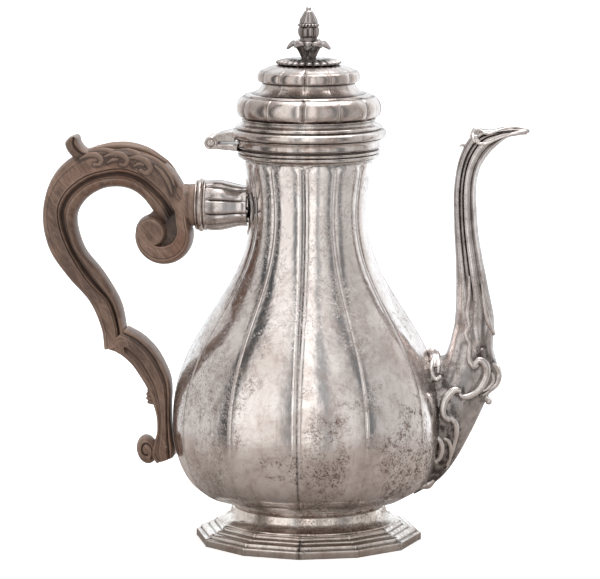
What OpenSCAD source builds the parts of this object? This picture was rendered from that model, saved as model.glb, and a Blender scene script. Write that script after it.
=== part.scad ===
// Twelve-panelled silver coffee pot on a stepped foot, with a hinged double-domed
// lid, a tall cast spout and a carved wooden scroll handle.
// Millimetres. Z is up, the origin is the centre of the foot's underside, the
// spout points to +X and the handle to -X. Corner radii are given for panelled
// parts, whose corners lie on the X axis.

/* [Body] */
// Number of vertical panels on the body, foot and lid
panels = 12; // [12]
// Corner radius of the belly at its widest
belly_r = 71.5; // [58:0.5:86]
// Height of the widest part of the belly
belly_z = 62; // [56:1:74]
// Corner radius of the neck at its narrowest
waist_r = 29.9; // [26:0.1:34]
// Height of the narrowest part of the neck
waist_z = 174; // [165:1:180]
// Corner radius at the top of the neck
neck_r = 33.4; // [28:0.1:40.5]
// Height of the rim where the lid closes
rim_z = 212; // [206:1:255]
// Thickness of the raised sheet silver
wall = 0.9; // [0.6:0.1:1.4]

/* [Foot] */
// Corner radius of the plinth band
foot_r = 59; // [52:0.5:71]
// Height of the plinth band
plinth_h = 4.2; // [3:0.1:6]
// Thickness of the plinth band
plinth_t = 2.4; // [1.6:0.1:4]
// Height from the table to the top of the foot
foot_h = 19.4; // [17:0.1:23.5]
// Radius of the foot at its narrowest
foot_neck_r = 37.8; // [31:0.1:46]
// Height of the beaded collar between the foot and the body
collar_h = 2.6; // [2:0.1:4]
// How far the beaded collar stands outside the foot's narrowest part
collar_out = 3; // [1:0.1:5]

/* [Neck mouldings] */
// Height of the lower bead moulding
bead_h = 6.2; // [4:0.1:8]
// How far the lower bead moulding stands out from the neck
bead_out = 4; // [3:0.1:6]
// Height of the rim band above it
band_h = 4.6; // [3:0.1:6]
// How far the rim band stands out from the neck
band_out = 5; // [4:0.1:7]

/* [Lid] */
// How far the lid's convex rim stands out from the neck
rim_out = 7.1; // [6:0.1:9]
// Height of the round rim mouldings of the lid
lid_rim_h = 10; // [8:0.1:12]
// How far the lower tier's widest corners lie inside the rim
tier_in = 3.1; // [2:0.1:4]
// Height of the lower tier
tier_h = 13; // [10:0.1:16]
// How far the upper tier's shoulder lies inside the lower tier
crown_in = 11.4; // [9:0.1:13.5]
// Height of the upper tier
crown_h = 14.7; // [12:0.1:18]
// Gap between the closed lid and the rim
lid_gap = 0.3; // [0.1:0.05:0.5]
// Depth that the lid's inner sleeve reaches into the neck
bezel_depth = 7; // [4:0.5:10]
// Gap between the inner sleeve and the neck
bezel_gap = 0.5; // [0.3:0.05:1]
// Opening angle of the lid
lid_open = 0; // [0:5:105]

/* [Finial] */
// Radius of the leafy disc under the finial
rosette_r = 17.2; // [14:0.1:19.5]
// Height of the leafy disc
rosette_h = 4; // [3:0.1:6]
// Reach of the drooping leaves
leaf_reach = 12; // [9:0.1:15]
// Height of the drooping leaves
leaf_h = 11; // [9:0.1:13]
// Radius of the ribbed bud
bud_r = 5.3; // [4:0.1:7]
// Height of the bud with its pointed tip
bud_h = 13.7; // [11:0.1:17]
// Radius of the stud that holds the finial
stud_r = 1.5; // [1.2:0.1:2]

/* [Hinge] */
// Distance of the hinge axis outside the lid's rim
hinge_out = 9.7; // [8:0.1:13]
// Height of the hinge axis below the rim
hinge_drop = 2.5; // [2:0.1:3]
// Radius of the hinge barrel
barrel_r = 3; // [2.5:0.1:3.4]
// Width of the hinge
hinge_w = 21; // [17:0.5:25]
// Radius of the hinge pin
hinge_pin_r = 1; // [0.8:0.1:1.4]
// Running clearance round the hinge pin
pin_clear = 0.05; // [0.03:0.01:0.1]
// Gap between neighbouring knuckles
knuckle_gap = 0.3; // [0.2:0.05:0.5]
// Thickness of the two hinge straps
strap_t = 3.4; // [2.6:0.1:3.6]

/* [Spout] */
// Furthest reach of the spout's tip from the belly
spout_reach = 43.8; // [37:0.2:52]
// Height of the spout's mouth above the rim
spout_over = 5; // [0:0.5:15]
// Lowest point where the spout meets the body
spout_foot_z = 28; // [26:1:34]
// Width of the spout where it meets the body
spout_base_w = 30; // [24:0.5:36]
// Width of the spout's tall neck
spout_neck_w = 12.5; // [10:0.5:15]
// Thickness of the cast spout
spout_wall = 1.5; // [1:0.1:2]
// Diameter of a strainer hole behind the spout
strainer_d = 3; // [2:0.1:4]

/* [Handle] */
// Height of the upper socket's axis
socket_z = 176; // [165:0.5:182]
// Radius of the socket at its open end
socket_r = 13; // [11.5:0.1:15.6]
// Radius of the socket beside the neck
socket_root_r = 10.7; // [9:0.1:12]
// Length of the socket's fluted barrel
socket_len = 19.5; // [16:0.1:24]
// Thickness of the socket's wall
socket_wall = 1.4; // [1:0.1:2]
// Width of the beaded ring on the socket's mouth
ring_w = 6; // [4:0.1:8]
// Radius of the plate that joins the socket to the neck
plate_r = 15; // [13:0.1:17]
// Radius of the pin through the upper socket
socket_pin_r = 1.2; // [0.9:0.1:1.6]
// How far the handle stands out from the belly
handle_reach = 67.5; // [56:0.5:81]
// Height of the handle's lower fixing
lug_z = 49; // [46:0.5:54]
// Thickness of the carved wood
wood_t = 18; // [15:0.5:22]
// Width of the handle's upper scroll
scroll_w = 21; // [18:0.5:25]
// Radius of the volute below the socket
volute_r = 15; // [12:0.5:17]
// Thickness of the volute with its button
volute_t = 21; // [18:0.5:25]
// Gap between the wood and the silver it fits into
wood_gap = 0.15; // [0.05:0.05:0.3]
// Height of the lower fixing tab
lug_h = 10; // [7:0.5:13]
// Thickness of the lower fixing tab
lug_t = 3; // [2:0.1:4]
// Radius of the pin through the lower fixing tab
lug_pin_r = 1; // [0.8:0.1:1.4]

/* [Hidden] */
$fn = 72;

silver = "silver";
wood = "saddlebrown";
through = 200;
corner = cos(180 / panels);

// Heights that follow from the sizes above
base_z = foot_h + collar_h;
bead_z = rim_z - band_h - bead_h;
band_z = rim_z - band_h;
lid_z = rim_z + lid_gap;
tier_z = lid_z + lid_rim_h;
crown_z = tier_z + tier_h;
crown_top_z = crown_z + crown_h;
leaf_z = crown_top_z + rosette_h - 1;
bud_z = leaf_z + leaf_h;
hinge_z = rim_z - hinge_drop;
collar_r = foot_neck_r + collar_out;
bead_r = neck_r + bead_out;
band_r = neck_r + band_out;
lid_rim_r = neck_r + rim_out;
tier_r = lid_rim_r - tier_in;
crown_r = tier_r - crown_in;
hinge_x = lid_rim_r + hinge_out;
spout_tip_x = belly_r + spout_reach;
spout_top_z = rim_z + spout_over;
shell_bore = (neck_r - wall) * corner;
bezel_r = shell_bore - bezel_gap;

// Curves -------------------------------------------------------------------
function mix(a, b, t) = a + (b - a) * t;
function bezier(a, b, c, d, n) = [
    for (i = [0 : n]) let (t = i / n, s = 1 - t)
        s * s * s * a + 3 * s * s * t * b + 3 * s * t * t * c + t * t * t * d
];
// A smooth curve through a list of points
function blend(a, b, c, d, t) = 0.5 * (2 * b + (c - a) * t
    + (2 * a - 5 * b + 4 * c - d) * t * t + (3 * b - a - 3 * c + d) * t * t * t);
function smooth(p, n) = [
    for (i = [0 : len(p) - 2]) for (j = [0 : n - 1])
        blend(p[max(i - 1, 0)], p[i], p[i + 1], p[min(i + 2, len(p) - 1)], j / n),
    p[len(p) - 1]
];
function tail(p, k) = [for (i = [k : len(p) - 1]) p[i]];
function reversed(p) = [for (i = [len(p) - 1 : -1 : 0]) p[i]];
// Unit vector square to an outline at one of its points
function side(p, i) = let (d = p[min(i + 1, len(p) - 1)] - p[max(i - 1, 0)])
    [-d.y, d.x] / norm([d.x, d.y]);
function inset(p, t) = [for (i = [0 : len(p) - 1]) p[i] + t * side(p, i)];
function radius_at(p, z) = lookup(z, [for (q = p) [q.y, q.x]]);

// Outline of the body from the collar up to the rim
belly_curve = bezier([collar_r, base_z], [collar_r + 0.69 * (belly_r - collar_r), base_z - 1],
    [belly_r, mix(base_z, belly_z, 0.45)], [belly_r, belly_z], 8);
shoulder_curve = bezier([belly_r, belly_z], [belly_r, mix(belly_z, waist_z, 0.45)],
    [waist_r, mix(waist_z, belly_z, 0.4)], [waist_r, waist_z], 12);
neck_curve = bezier([waist_r, waist_z], [waist_r, mix(waist_z, bead_z, 0.4)],
    [neck_r - 1, mix(waist_z, bead_z, 0.7)], [neck_r, bead_z], 4);
body_outline = concat(belly_curve, tail(shoulder_curve, 1), tail(neck_curve, 1));
body_inner = [for (p = inset(body_outline, wall)) [p.x, min(p.y, bead_z)]];
// The sheet ends a little below the rim band's top
shell_drop = 0.4;

// The upper socket starts just outside the neck
plate_t = 3.6;
neck_at_socket = radius_at(body_outline, socket_z);
socket_x = -(neck_at_socket + plate_t);
socket_mouth_x = socket_x - socket_len;

module panelled(outline) {
    rotate_extrude($fn = panels) polygon(outline);
}

// Everything inside the outer skin of the body, used to fit parts against it
module body_form() {
    panelled(concat([[0, base_z]], body_outline, [[neck_r, rim_z], [0, rim_z]]));
}

module body_shell() {
    color(silver) difference() {
        panelled(concat([[0, base_z]], body_outline, [[neck_r, rim_z - shell_drop]],
            [[neck_r - wall, rim_z - shell_drop]], reversed(body_inner), [[0, base_z + wall]]));
        strainer();
    }
}

// Rows of small holes that keep the coffee grounds out of the spout
module strainer() {
    row_z = mix(spout_foot_z, belly_z, 0.85);
    for (row = [-2 : 2]) {
        for (hole = [-1 : 1]) {
            shift = (row % 2 == 0) ? 0 : strainer_d;
            if (abs(hole * 2 * strainer_d + shift) < 0.3 * spout_base_w)
                translate([belly_r / 2, hole * 2 * strainer_d + shift, row_z + row * 2 * strainer_d])
                    rotate([0, 90, 0]) cylinder(d = strainer_d, h = belly_r, $fn = 12);
        }
    }
}

// Foot ---------------------------------------------------------------------
module plinth_band() {
    color(silver) linear_extrude(plinth_h) difference() {
        circle(foot_r, $fn = panels);
        circle(foot_r - plinth_t, $fn = panels);
    }
}

// Corner radii of the two mouldings and of the disc that the cove stands on
step_1_r = mix(foot_neck_r, foot_r, 0.835);
step_2_r = mix(foot_neck_r, foot_r, 0.6);
disc_r = mix(foot_neck_r, foot_r, 0.36);
step_rise = mix(plinth_h, foot_h, 0.38) - plinth_h;
step_z = plinth_h + step_rise;
groove = 0.8;
foot_t = 1.6;
cove_t = 1.3;
collar_t = 5;
cove = bezier([disc_r, step_z + 1], [disc_r - 2, mix(step_z, foot_h, 0.55)],
    [foot_neck_r, mix(step_z, foot_h, 0.6)], [foot_neck_r, foot_h], 8);

module foot() {
    color(silver) {
        panelled([
            [foot_r - plinth_t, plinth_h], [foot_r - groove, plinth_h],
            [foot_r - 2 * groove, plinth_h + groove],
            [step_1_r, plinth_h + step_rise * 0.28], [step_1_r - 2 * groove, plinth_h + step_rise * 0.45],
            [step_2_r, plinth_h + step_rise * 0.52],
            [step_2_r, step_z - groove], [step_2_r - groove, step_z], [disc_r - 2 * cove_t, step_z],
            [disc_r - 2 * cove_t, step_z - cove_t], [step_2_r - foot_t, step_z - cove_t],
            [step_2_r - foot_t, plinth_h + step_rise * 0.24], [step_1_r - foot_t, plinth_h + groove]
        ]);
        rotate_extrude() polygon(concat(
            [[disc_r, step_z]], cove, [[foot_neck_r - collar_t, foot_h]],
            reversed([for (p = cove) [p.x - cove_t, p.y - cove_t / 2]]),
            [[disc_r - cove_t, step_z]]));
    }
}

module base_collar() {
    bead = collar_h * 0.28;
    bead_x = foot_neck_r + collar_out * 0.4;
    color(silver) rotate_extrude() {
        translate([foot_neck_r - collar_t, foot_h]) square([collar_t + collar_out * 0.4, collar_h]);
        translate([bead_x, foot_h + bead]) circle(bead);
        translate([bead_x, foot_h + collar_h - bead]) circle(bead);
    }
}

// Neck mouldings -----------------------------------------------------------
module neck_moulding() {
    bead = bead_h / 5;
    color(silver) rotate_extrude() {
        translate([neck_r, bead_z]) square([bead_out - bead, bead_h]);
        translate([bead_r - bead * 1.2, bead_z + bead * 1.6]) circle(bead * 1.2);
        translate([bead_r - bead * 0.9, bead_z + bead * 3.3]) circle(bead * 0.5);
        translate([neck_r, bead_z + bead * 3.9]) square([bead_out, bead * 0.9]);
    }
}

module rim_band() {
    color(silver) rotate_extrude() difference() {
        translate([neck_r, band_z]) square([band_out, band_h]);
        translate([band_r, band_z + band_h * 0.28]) circle(band_h * 0.2);
    }
}

// Spout --------------------------------------------------------------------
// A station gives the inner and outer points of the spout's side view and its
// width: the reach runs from the belly to the tip, the rise from foot to mouth.
function spout_x(reach) = mix(belly_r, spout_tip_x, reach);
function spout_z(rise) = mix(spout_foot_z, spout_top_z, rise);
base_hw = spout_base_w / 2;
neck_hw = spout_neck_w / 2;
stations = [
    [[-0.30, 0.37], [-0.36, -0.02], base_hw],
    [[-0.10, 0.37], [-0.08, 0.02], base_hw],
    [[0.00, 0.375], [0.12, 0.075], base_hw * 0.95],
    [[0.05, 0.405], [0.32, 0.16], base_hw * 0.85],
    [[0.085, 0.435], [0.50, 0.25], base_hw * 0.72],
    [[0.112, 0.465], [0.635, 0.32], base_hw * 0.6],
    [[0.125, 0.52], [0.575, 0.40], mix(neck_hw, base_hw, 0.3)],
    [[0.127, 0.585], [0.59, 0.475], mix(neck_hw, base_hw, 0.15)],
    [[0.12, 0.64], [0.50, 0.575], neck_hw * 1.04],
    [[0.10, 0.73], [0.40, 0.70], neck_hw],
    [[0.092, 0.80], [0.367, 0.785], neck_hw * 0.96],
    [[0.102, 0.85], [0.364, 0.84], neck_hw * 0.93],
    [[0.14, 0.905], [0.39, 0.88], neck_hw * 0.9],
    [[0.22, 0.955], [0.445, 0.91], neck_hw * 0.88],
    [[0.36, 0.995], [0.56, 0.945], neck_hw * 0.84],
    [[0.56, 1.0], [0.72, 0.975], neck_hw * 0.8],
    [[0.78, 1.005], [0.85, 0.983], neck_hw * 0.72],
    [[0.97, 1.002], [0.985, 0.99], neck_hw * 0.5]
];
passage = [for (i = [0 : len(stations) - 2]) stations[i]];
mouth_r = neck_hw * 0.8 - spout_wall * 0.6;
ring_sides = 16;

function station_point(s, a, t) = let (
    inner = [spout_x(s[0].x), spout_z(s[0].y)],
    outer = [spout_x(s[1].x), spout_z(s[1].y)],
    mid = (inner + outer) / 2,
    arm = (outer - inner) / 2,
    keep = 1 - t / norm(arm))
    [mid.x + arm.x * keep * cos(a), -(s[2] - t) * sin(a), mid.y + arm.y * keep * cos(a)];

module loft(list, t) {
    n = len(list);
    points = [for (s = list) for (k = [0 : ring_sides - 1]) station_point(s, 360 * k / ring_sides, t)];
    walls = [for (i = [0 : n - 2]) for (k = [0 : ring_sides - 1]) let (m = (k + 1) % ring_sides)
        [i * ring_sides + k, i * ring_sides + m, (i + 1) * ring_sides + m, (i + 1) * ring_sides + k]];
    first = [for (k = [ring_sides - 1 : -1 : 0]) k];
    last = [for (k = [0 : ring_sides - 1]) (n - 1) * ring_sides + k];
    polyhedron(points, concat(walls, [first, last]), convexity = 6);
}

module spout_form() {
    difference() {
        loft(stations, 0);
        loft(passage, spout_wall);
        spout_mouth();
        body_form();
    }
}

// Long oval opening along the top of the beak
module spout_mouth() {
    translate([0, 0, spout_z(0.985)]) linear_extrude(through) hull() {
        translate([spout_x(0.45), 0]) circle(mouth_r);
        translate([spout_x(0.8), 0]) circle(mouth_r * 0.8);
    }
}

module spout_near_half() {
    color(silver) difference() {
        spout_form();
        translate([0, 0, -through / 2]) cube([through, through, 2 * through]);
    }
}

module spout_far_half() {
    color(silver) difference() {
        spout_form();
        translate([0, -through, -through / 2]) cube([through, through, 2 * through]);
    }
}

// Upper socket -------------------------------------------------------------
module along_handle(x) {
    translate([x, 0, socket_z]) rotate([0, -90, 0]) children();
}

module socket_plate() {
    color(silver) difference() {
        along_handle(-neck_at_socket * 0.7) cylinder(r = plate_r, h = plate_t + neck_at_socket * 0.3);
        body_form();
    }
}

barrel_curve = bezier([socket_root_r, 0], [socket_root_r - 0.8, socket_len * 0.4],
    [socket_r + 0.6, socket_len * 0.5], [socket_r, socket_len], 8);
bore_r = socket_root_r - socket_wall;
pin_drop = 0.6;

module upper_socket() {
    color(silver) difference() {
        along_handle(socket_x) rotate_extrude()
            polygon(concat([[bore_r, 0]], barrel_curve, [[bore_r, socket_len]]));
        socket_pin_hole();
    }
}

module socket_ring() {
    lip = ring_w / 8;
    bed_r = socket_r - lip / 2;
    color(silver) along_handle(socket_mouth_x) rotate_extrude() {
        translate([bore_r, 0]) square([bed_r - bore_r, ring_w]);
        translate([bed_r, lip]) circle(lip);
        translate([bed_r, ring_w / 2]) circle(lip * 1.8);
        translate([bed_r, ring_w - lip]) circle(lip);
    }
}

// Pins across the handle, through the upper socket and through the lower tab
module cross_pin(x, z, r, length) {
    translate([x, length / 2, z]) rotate([90, 0, 0]) cylinder(r = r, h = length);
}

pin_x = socket_mouth_x + 1.6 * socket_pin_r;
module socket_pin_hole() {
    cross_pin(pin_x, socket_z, socket_pin_r, through);
}

module socket_pin() {
    color(silver) cross_pin(pin_x, socket_z, socket_pin_r, 2 * socket_r - pin_drop);
}

// Handle -------------------------------------------------------------------
// The wood is two scrolls, a volute, a spur and a knob. The points of each edge
// give the reach out of the belly and the rise from the lower to the upper fixing,
// as shares of the handle's own sizes.
wood_top_x = socket_mouth_x - ring_w;
wood_shoulder_r = socket_r - 1.9;
tenon_len = ring_w + 9;
function handle_x(reach) = -(belly_r + handle_reach * reach);
function handle_z(rise) = mix(lug_z, socket_z, rise);
function edge(list) = smooth([for (p = list) [handle_x(p.x), handle_z(p.y)]], 4);
upper_outer = [
    [0.55, 0.39], [0.56, 0.49], [0.66, 0.60], [0.82, 0.70], [0.96, 0.81], [1.01, 0.95],
    [0.93, 1.107], [0.77, 1.20], [0.60, 1.236], [0.345, 1.243], [0.105, 1.20], [0.0, 1.15]
];
upper_inner = [
    [0.163, 0.98], [0.264, 1.045], [0.42, 1.073], [0.60, 1.05], [0.72, 0.98], [0.74, 0.90],
    [0.68, 0.81], [0.53, 0.715], [0.41, 0.61], [0.36, 0.53], [0.356, 0.475], [0.40, 0.40]
];
lower_outer = [
    [0.487, 0.39], [0.42, 0.355], [0.317, 0.308], [0.193, 0.204], [0.126, 0.092], [0.15, 0.02]
];
lower_inner = [
    [-0.03, -0.02], [-0.02, 0.05], [-0.02, 0.16], [-0.01, 0.235], [0.074, 0.334],
    [0.217, 0.441], [0.298, 0.468], [0.356, 0.475], [0.45, 0.47]
];
volute = [handle_x(0.061), handle_z(0.874)];
spur = [handle_x(0.778), handle_z(1.232)];
spur_root = [handle_x(0.66), handle_z(1.16)];
knob = [handle_x(0.205), handle_z(-0.02)];
knob_low = [handle_x(0.12), handle_z(-0.045)];
knob_root = [handle_x(0), handle_z(-0.03)];

module handle_outline() {
    polygon(concat(edge(upper_outer), [[wood_top_x, socket_z + wood_shoulder_r]],
        [[wood_top_x, socket_z - wood_shoulder_r], volute], edge(upper_inner)));
    polygon(concat(edge(lower_outer), edge(lower_inner)));
    translate(volute) circle(volute_r);
    hull() {
        translate(spur) circle(scroll_w * 0.2);
        translate(spur_root) circle(scroll_w * 0.38);
    }
    hull() {
        translate(knob) circle(scroll_w * 0.3);
        translate(knob_low) circle(scroll_w * 0.27);
        translate(knob_root) circle(scroll_w * 0.26);
    }
}

module handle() {
    color(wood) difference() {
        union() {
            rotate([90, 0, 0]) linear_extrude(wood_t, center = true) handle_outline();
            translate([volute.x, volute_t / 2, volute.y]) rotate([90, 0, 0])
                cylinder(r = volute_r * 0.5, h = volute_t);
            along_handle(wood_top_x + tenon_len)
                cylinder(r = bore_r - wood_gap, h = tenon_len + 1);
        }
        socket_pin_hole();
        lug_form(wood_gap);
        lug_pin_hole();
        handle_clearance();
    }
}

// Space that the body takes out of the wood, with a small gap
module handle_clearance() {
    form = concat([[0, foot_h]], body_outline, [[neck_r, rim_z], [0, rim_z]]);
    panelled([for (p = form) [p.x > 0 ? p.x + wood_gap : 0, p.y]]);
}

// The tab starts inside the body's corner, which its far end is cut to fit
lug_x = -radius_at(body_outline, lug_z);
lug_len = 9;
lug_root = 3;
lug_pin_x = lug_x - lug_len * 0.55;
module lug_form(gap) {
    translate([lug_x - lug_len - gap, -lug_t / 2 - gap, lug_z - lug_h / 2 - gap])
        cube([lug_len + lug_root + gap, lug_t + 2 * gap, lug_h + 2 * gap]);
}

module lug_pin_hole() {
    cross_pin(lug_pin_x, lug_z, lug_pin_r, through);
}

module lower_lug() {
    color(silver) difference() {
        lug_form(0);
        body_form();
        lug_pin_hole();
    }
}

module lug_pin() {
    color(silver) cross_pin(lug_pin_x, lug_z, lug_pin_r, wood_t);
}

// Hinge --------------------------------------------------------------------
// Five knuckles share the pin: three on the pot and two on the lid.
knuckle_pitch = hinge_w / 5;
knuckle_w = knuckle_pitch - knuckle_gap;
leaf_clear = barrel_r + 0.4;
leaf_lift = 0.8;
leaf_root = 3;
web_t = barrel_r - leaf_lift;

module knuckles(list, web_z) {
    for (k = list) {
        y = k * knuckle_pitch - knuckle_w / 2;
        translate([-hinge_x, y, hinge_z]) rotate([-90, 0, 0])
            cylinder(r = barrel_r, h = knuckle_w, $fn = 48);
        translate([-hinge_x, y, web_z]) cube([leaf_clear + 1, knuckle_w, web_t]);
    }
}

module hinge_bore() {
    translate([-hinge_x, -through / 2, hinge_z]) rotate([-90, 0, 0])
        cylinder(r = hinge_pin_r + pin_clear, h = through, $fn = 48);
}

module hinge_body_leaf() {
    color(silver) difference() {
        union() {
            knuckles([-2, 0, 2], hinge_z - leaf_lift - web_t);
            translate([-hinge_x + leaf_clear, -hinge_w / 2, hinge_z - leaf_lift - strap_t])
                cube([hinge_x - leaf_clear - band_r + leaf_root, hinge_w, strap_t]);
        }
        hinge_bore();
        translate([0, 0, band_z - strap_t]) cylinder(r = band_r, h = 3 * strap_t);
    }
}

module hinge_lid_leaf() {
    color(silver) difference() {
        union() {
            knuckles([-1, 1], hinge_z + leaf_lift);
            translate([-hinge_x + leaf_clear, -hinge_w / 2, hinge_z + leaf_lift])
                cube([hinge_x - leaf_clear - lid_rim_r + leaf_root, hinge_w, strap_t]);
        }
        hinge_bore();
        translate([0, 0, lid_z - strap_t]) cylinder(r = lid_rim_r, h = strap_t);
        flange_form();
    }
}

module hinge_pin() {
    color(silver) translate([-hinge_x, -hinge_w / 2, hinge_z]) rotate([-90, 0, 0])
        cylinder(r = hinge_pin_r, h = hinge_w, $fn = 48);
}

// Lid ----------------------------------------------------------------------
module swung() {
    translate([-hinge_x, 0, hinge_z]) rotate([0, -lid_open, 0])
        translate([hinge_x, 0, -hinge_z]) children();
}

// A round-edged rim, a bead above it and a short upright wall under the tiers
tier_foot_r = tier_r - 2.9;
fillet_t = 1.4;
flange_bead_r = 1.2;
flange_bead_z = lid_rim_h * 0.56;
rim_curve = bezier([lid_rim_r - 1, 0], [lid_rim_r + 0.35, flange_bead_z * 0.15],
    [lid_rim_r + 0.35, flange_bead_z * 0.6], [lid_rim_r - 1, flange_bead_z * 0.75], 6);
flange_outline = concat(
    [[bezel_r, 0]],
    rim_curve,
    [[tier_foot_r, flange_bead_z - flange_bead_r / 2], [tier_foot_r, lid_rim_h]],
    [[tier_foot_r - fillet_t, lid_rim_h], [tier_foot_r - fillet_t, flange_bead_z]],
    [[bezel_r, flange_bead_z]]
);

module flange_form() {
    translate([0, 0, lid_z]) rotate_extrude() {
        polygon(flange_outline);
        translate([tier_foot_r + 2 * flange_bead_r, flange_bead_z]) circle(flange_bead_r);
        translate([tier_foot_r - fillet_t, flange_bead_z - fillet_t])
            square([2 * flange_bead_r + fillet_t, fillet_t]);
    }
}

module lid_flange() {
    color(silver) flange_form();
}

module lid_bezel() {
    color(silver) translate([0, 0, lid_z - bezel_depth]) rotate_extrude()
        translate([bezel_r - wall, 0]) square([wall, bezel_depth + flange_bead_z]);
}

tier_top_r = mix(crown_r, tier_r, 0.5);
tier_curve = bezier([tier_foot_r, 0], [tier_r + 1.6, tier_h * 0.15], [tier_r + 1.6, tier_h * 0.7],
    [tier_top_r, tier_h], 8);

module lid_lower_tier() {
    color(silver) translate([0, 0, tier_z]) panelled(concat(tier_curve,
        reversed([for (p = inset(tier_curve, wall)) [p.x, max(0, min(p.y, tier_h))]])));
}

crown_waist_r = crown_r - 1.7;
crown_curve = concat(
    bezier([tier_top_r, 0], [crown_r - 1, crown_h * 0.04], [crown_waist_r - 0.2, crown_h * 0.2],
        [crown_waist_r, crown_h * 0.35], 5),
    bezier([crown_r, crown_h * 0.44], [crown_r - 0.5, crown_h * 0.9], [rosette_r + 3, crown_h],
        [rosette_r - 3, crown_h], 6)
);
module lid_upper_tier() {
    color(silver) translate([0, 0, crown_z]) difference() {
        panelled(concat(crown_curve, [[0, crown_h]], [[0, crown_h - wall]],
            reversed([for (p = inset(crown_curve, wall)) [p.x, max(0, min(p.y, crown_h - wall))]])));
        cylinder(r = stud_r, h = through, $fn = 32);
    }
}

// Finial -------------------------------------------------------------------
// Round hole for the stud, from any height below up to the given height
module stud_hole(top) {
    cylinder(r = stud_r, h = top, $fn = 32);
}

module finial_rosette() {
    color(silver) difference() {
        translate([0, 0, crown_top_z]) rotate_extrude() polygon(concat(
            [[0, 0], [rosette_r * 0.62, 0], [rosette_r - 1.2, rosette_h * 0.2]],
            bezier([rosette_r, rosette_h * 0.35], [rosette_r - 2, rosette_h],
                [rosette_r * 0.4, rosette_h], [rosette_r * 0.3, rosette_h - 1], 6),
            [[0, rosette_h - 1]]));
        stud_hole(2 * rim_z);
    }
}

leaf_count = 6;
module finial_leaves() {
    blade = concat(
        bezier([2.5, 0.25], [4, 1.1], [leaf_reach * 0.85, 1.15], [leaf_reach, 0.5], 6),
        bezier([leaf_reach - 0.8, 0.6], [leaf_reach * 0.7, 0.9], [3.6, 0.9], [3.2, 0.35], 6));
    color(silver) difference() {
        union() {
            translate([0, 0, leaf_z]) cylinder(r1 = 3.7, r2 = 3.2, h = leaf_h, $fn = 32);
            for (k = [0 : leaf_count - 1])
                translate([0, 0, leaf_z]) rotate([0, 0, 360 / leaf_count * (k + 0.5)]) rotate([90, 0, 0])
                    linear_extrude(leaf_reach * 0.4, center = true)
                        polygon([for (p = blade) [p.x, p.y * leaf_h * 0.9]]);
        }
        stud_hole(2 * rim_z);
    }
}

module finial_bud() {
    cone_z = bud_h * 0.62;
    color(silver) difference() {
        translate([0, 0, bud_z]) rotate_extrude() polygon(concat(
            [[0, 0]],
            bezier([3, 0], [bud_r + 1.4, bud_h * 0.1], [bud_r + 0.8, bud_h * 0.5], [3.6, bud_h * 0.52], 6),
            [[4.4, bud_h * 0.53], [4.4, cone_z], [3.1, cone_z]],
            bezier([3, cone_z], [2.4, bud_h * 0.75], [1.4, bud_h * 0.85], [1.1, bud_h * 0.9], 3),
            bezier([1.1, bud_h * 0.93], [1.4, bud_h * 0.96], [0.9, bud_h], [0, bud_h], 3)));
        stud_hole(bud_z + bud_h * 0.5);
    }
}

washer_t = 1;
nut_t = 2.4;
washer_z = crown_top_z - wall - washer_t;
nut_z = washer_z - nut_t;
stud_z = nut_z - 1;
module finial_stud() {
    color(silver) translate([0, 0, stud_z])
        cylinder(r = stud_r, h = bud_z + bud_h * 0.5 - stud_z, $fn = 32);
}

module finial_washer() {
    color(silver) difference() {
        translate([0, 0, washer_z]) cylinder(r = 2.8 * stud_r, h = washer_t, $fn = 32);
        stud_hole(2 * rim_z);
    }
}

module finial_nut() {
    color(silver) difference() {
        translate([0, 0, nut_z]) cylinder(r = 2.2 * stud_r, h = nut_t, $fn = 6);
        stud_hole(2 * rim_z);
    }
}

body_shell();
base_collar();
foot();
plinth_band();
neck_moulding();
rim_band();
spout_near_half();
spout_far_half();
socket_plate();
upper_socket();
socket_ring();
socket_pin();
handle();
lower_lug();
lug_pin();
hinge_body_leaf();
hinge_pin();
swung() hinge_lid_leaf();
swung() lid_flange();
swung() lid_bezel();
swung() lid_lower_tier();
swung() lid_upper_tier();
swung() finial_rosette();
swung() finial_leaves();
swung() finial_bud();
swung() finial_stud();
swung() finial_washer();
swung() finial_nut();
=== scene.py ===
"""Looks of the silver coffee pot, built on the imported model. Sizes are in millimetres."""
import math

import bmesh
import bpy
import numpy as np
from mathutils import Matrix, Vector
from mathutils.bvhtree import BVHTree


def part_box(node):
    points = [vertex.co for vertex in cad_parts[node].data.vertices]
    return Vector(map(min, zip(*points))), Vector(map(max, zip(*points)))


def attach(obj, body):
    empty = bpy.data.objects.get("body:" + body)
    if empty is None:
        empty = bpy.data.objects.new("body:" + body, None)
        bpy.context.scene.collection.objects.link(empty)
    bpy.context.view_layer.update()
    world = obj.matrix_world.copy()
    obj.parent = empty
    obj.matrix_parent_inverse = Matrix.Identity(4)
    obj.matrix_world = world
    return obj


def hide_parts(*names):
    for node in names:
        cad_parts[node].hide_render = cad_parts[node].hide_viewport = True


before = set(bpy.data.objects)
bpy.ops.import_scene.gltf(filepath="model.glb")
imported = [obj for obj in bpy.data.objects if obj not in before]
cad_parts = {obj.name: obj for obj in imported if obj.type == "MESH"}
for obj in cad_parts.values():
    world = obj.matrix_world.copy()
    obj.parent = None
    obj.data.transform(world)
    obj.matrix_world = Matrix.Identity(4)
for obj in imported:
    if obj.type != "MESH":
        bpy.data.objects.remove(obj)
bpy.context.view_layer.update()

MM = 0.001
scene = bpy.context.scene


# Sizes ----------------------------------------------------------------------
def low(node, axis):
    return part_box(node)[0][axis] / MM


def high(node, axis):
    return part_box(node)[1][axis] / MM


X, Y, Z = 0, 1, 2
PANELS = 12
HALF = math.pi / PANELS

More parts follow.
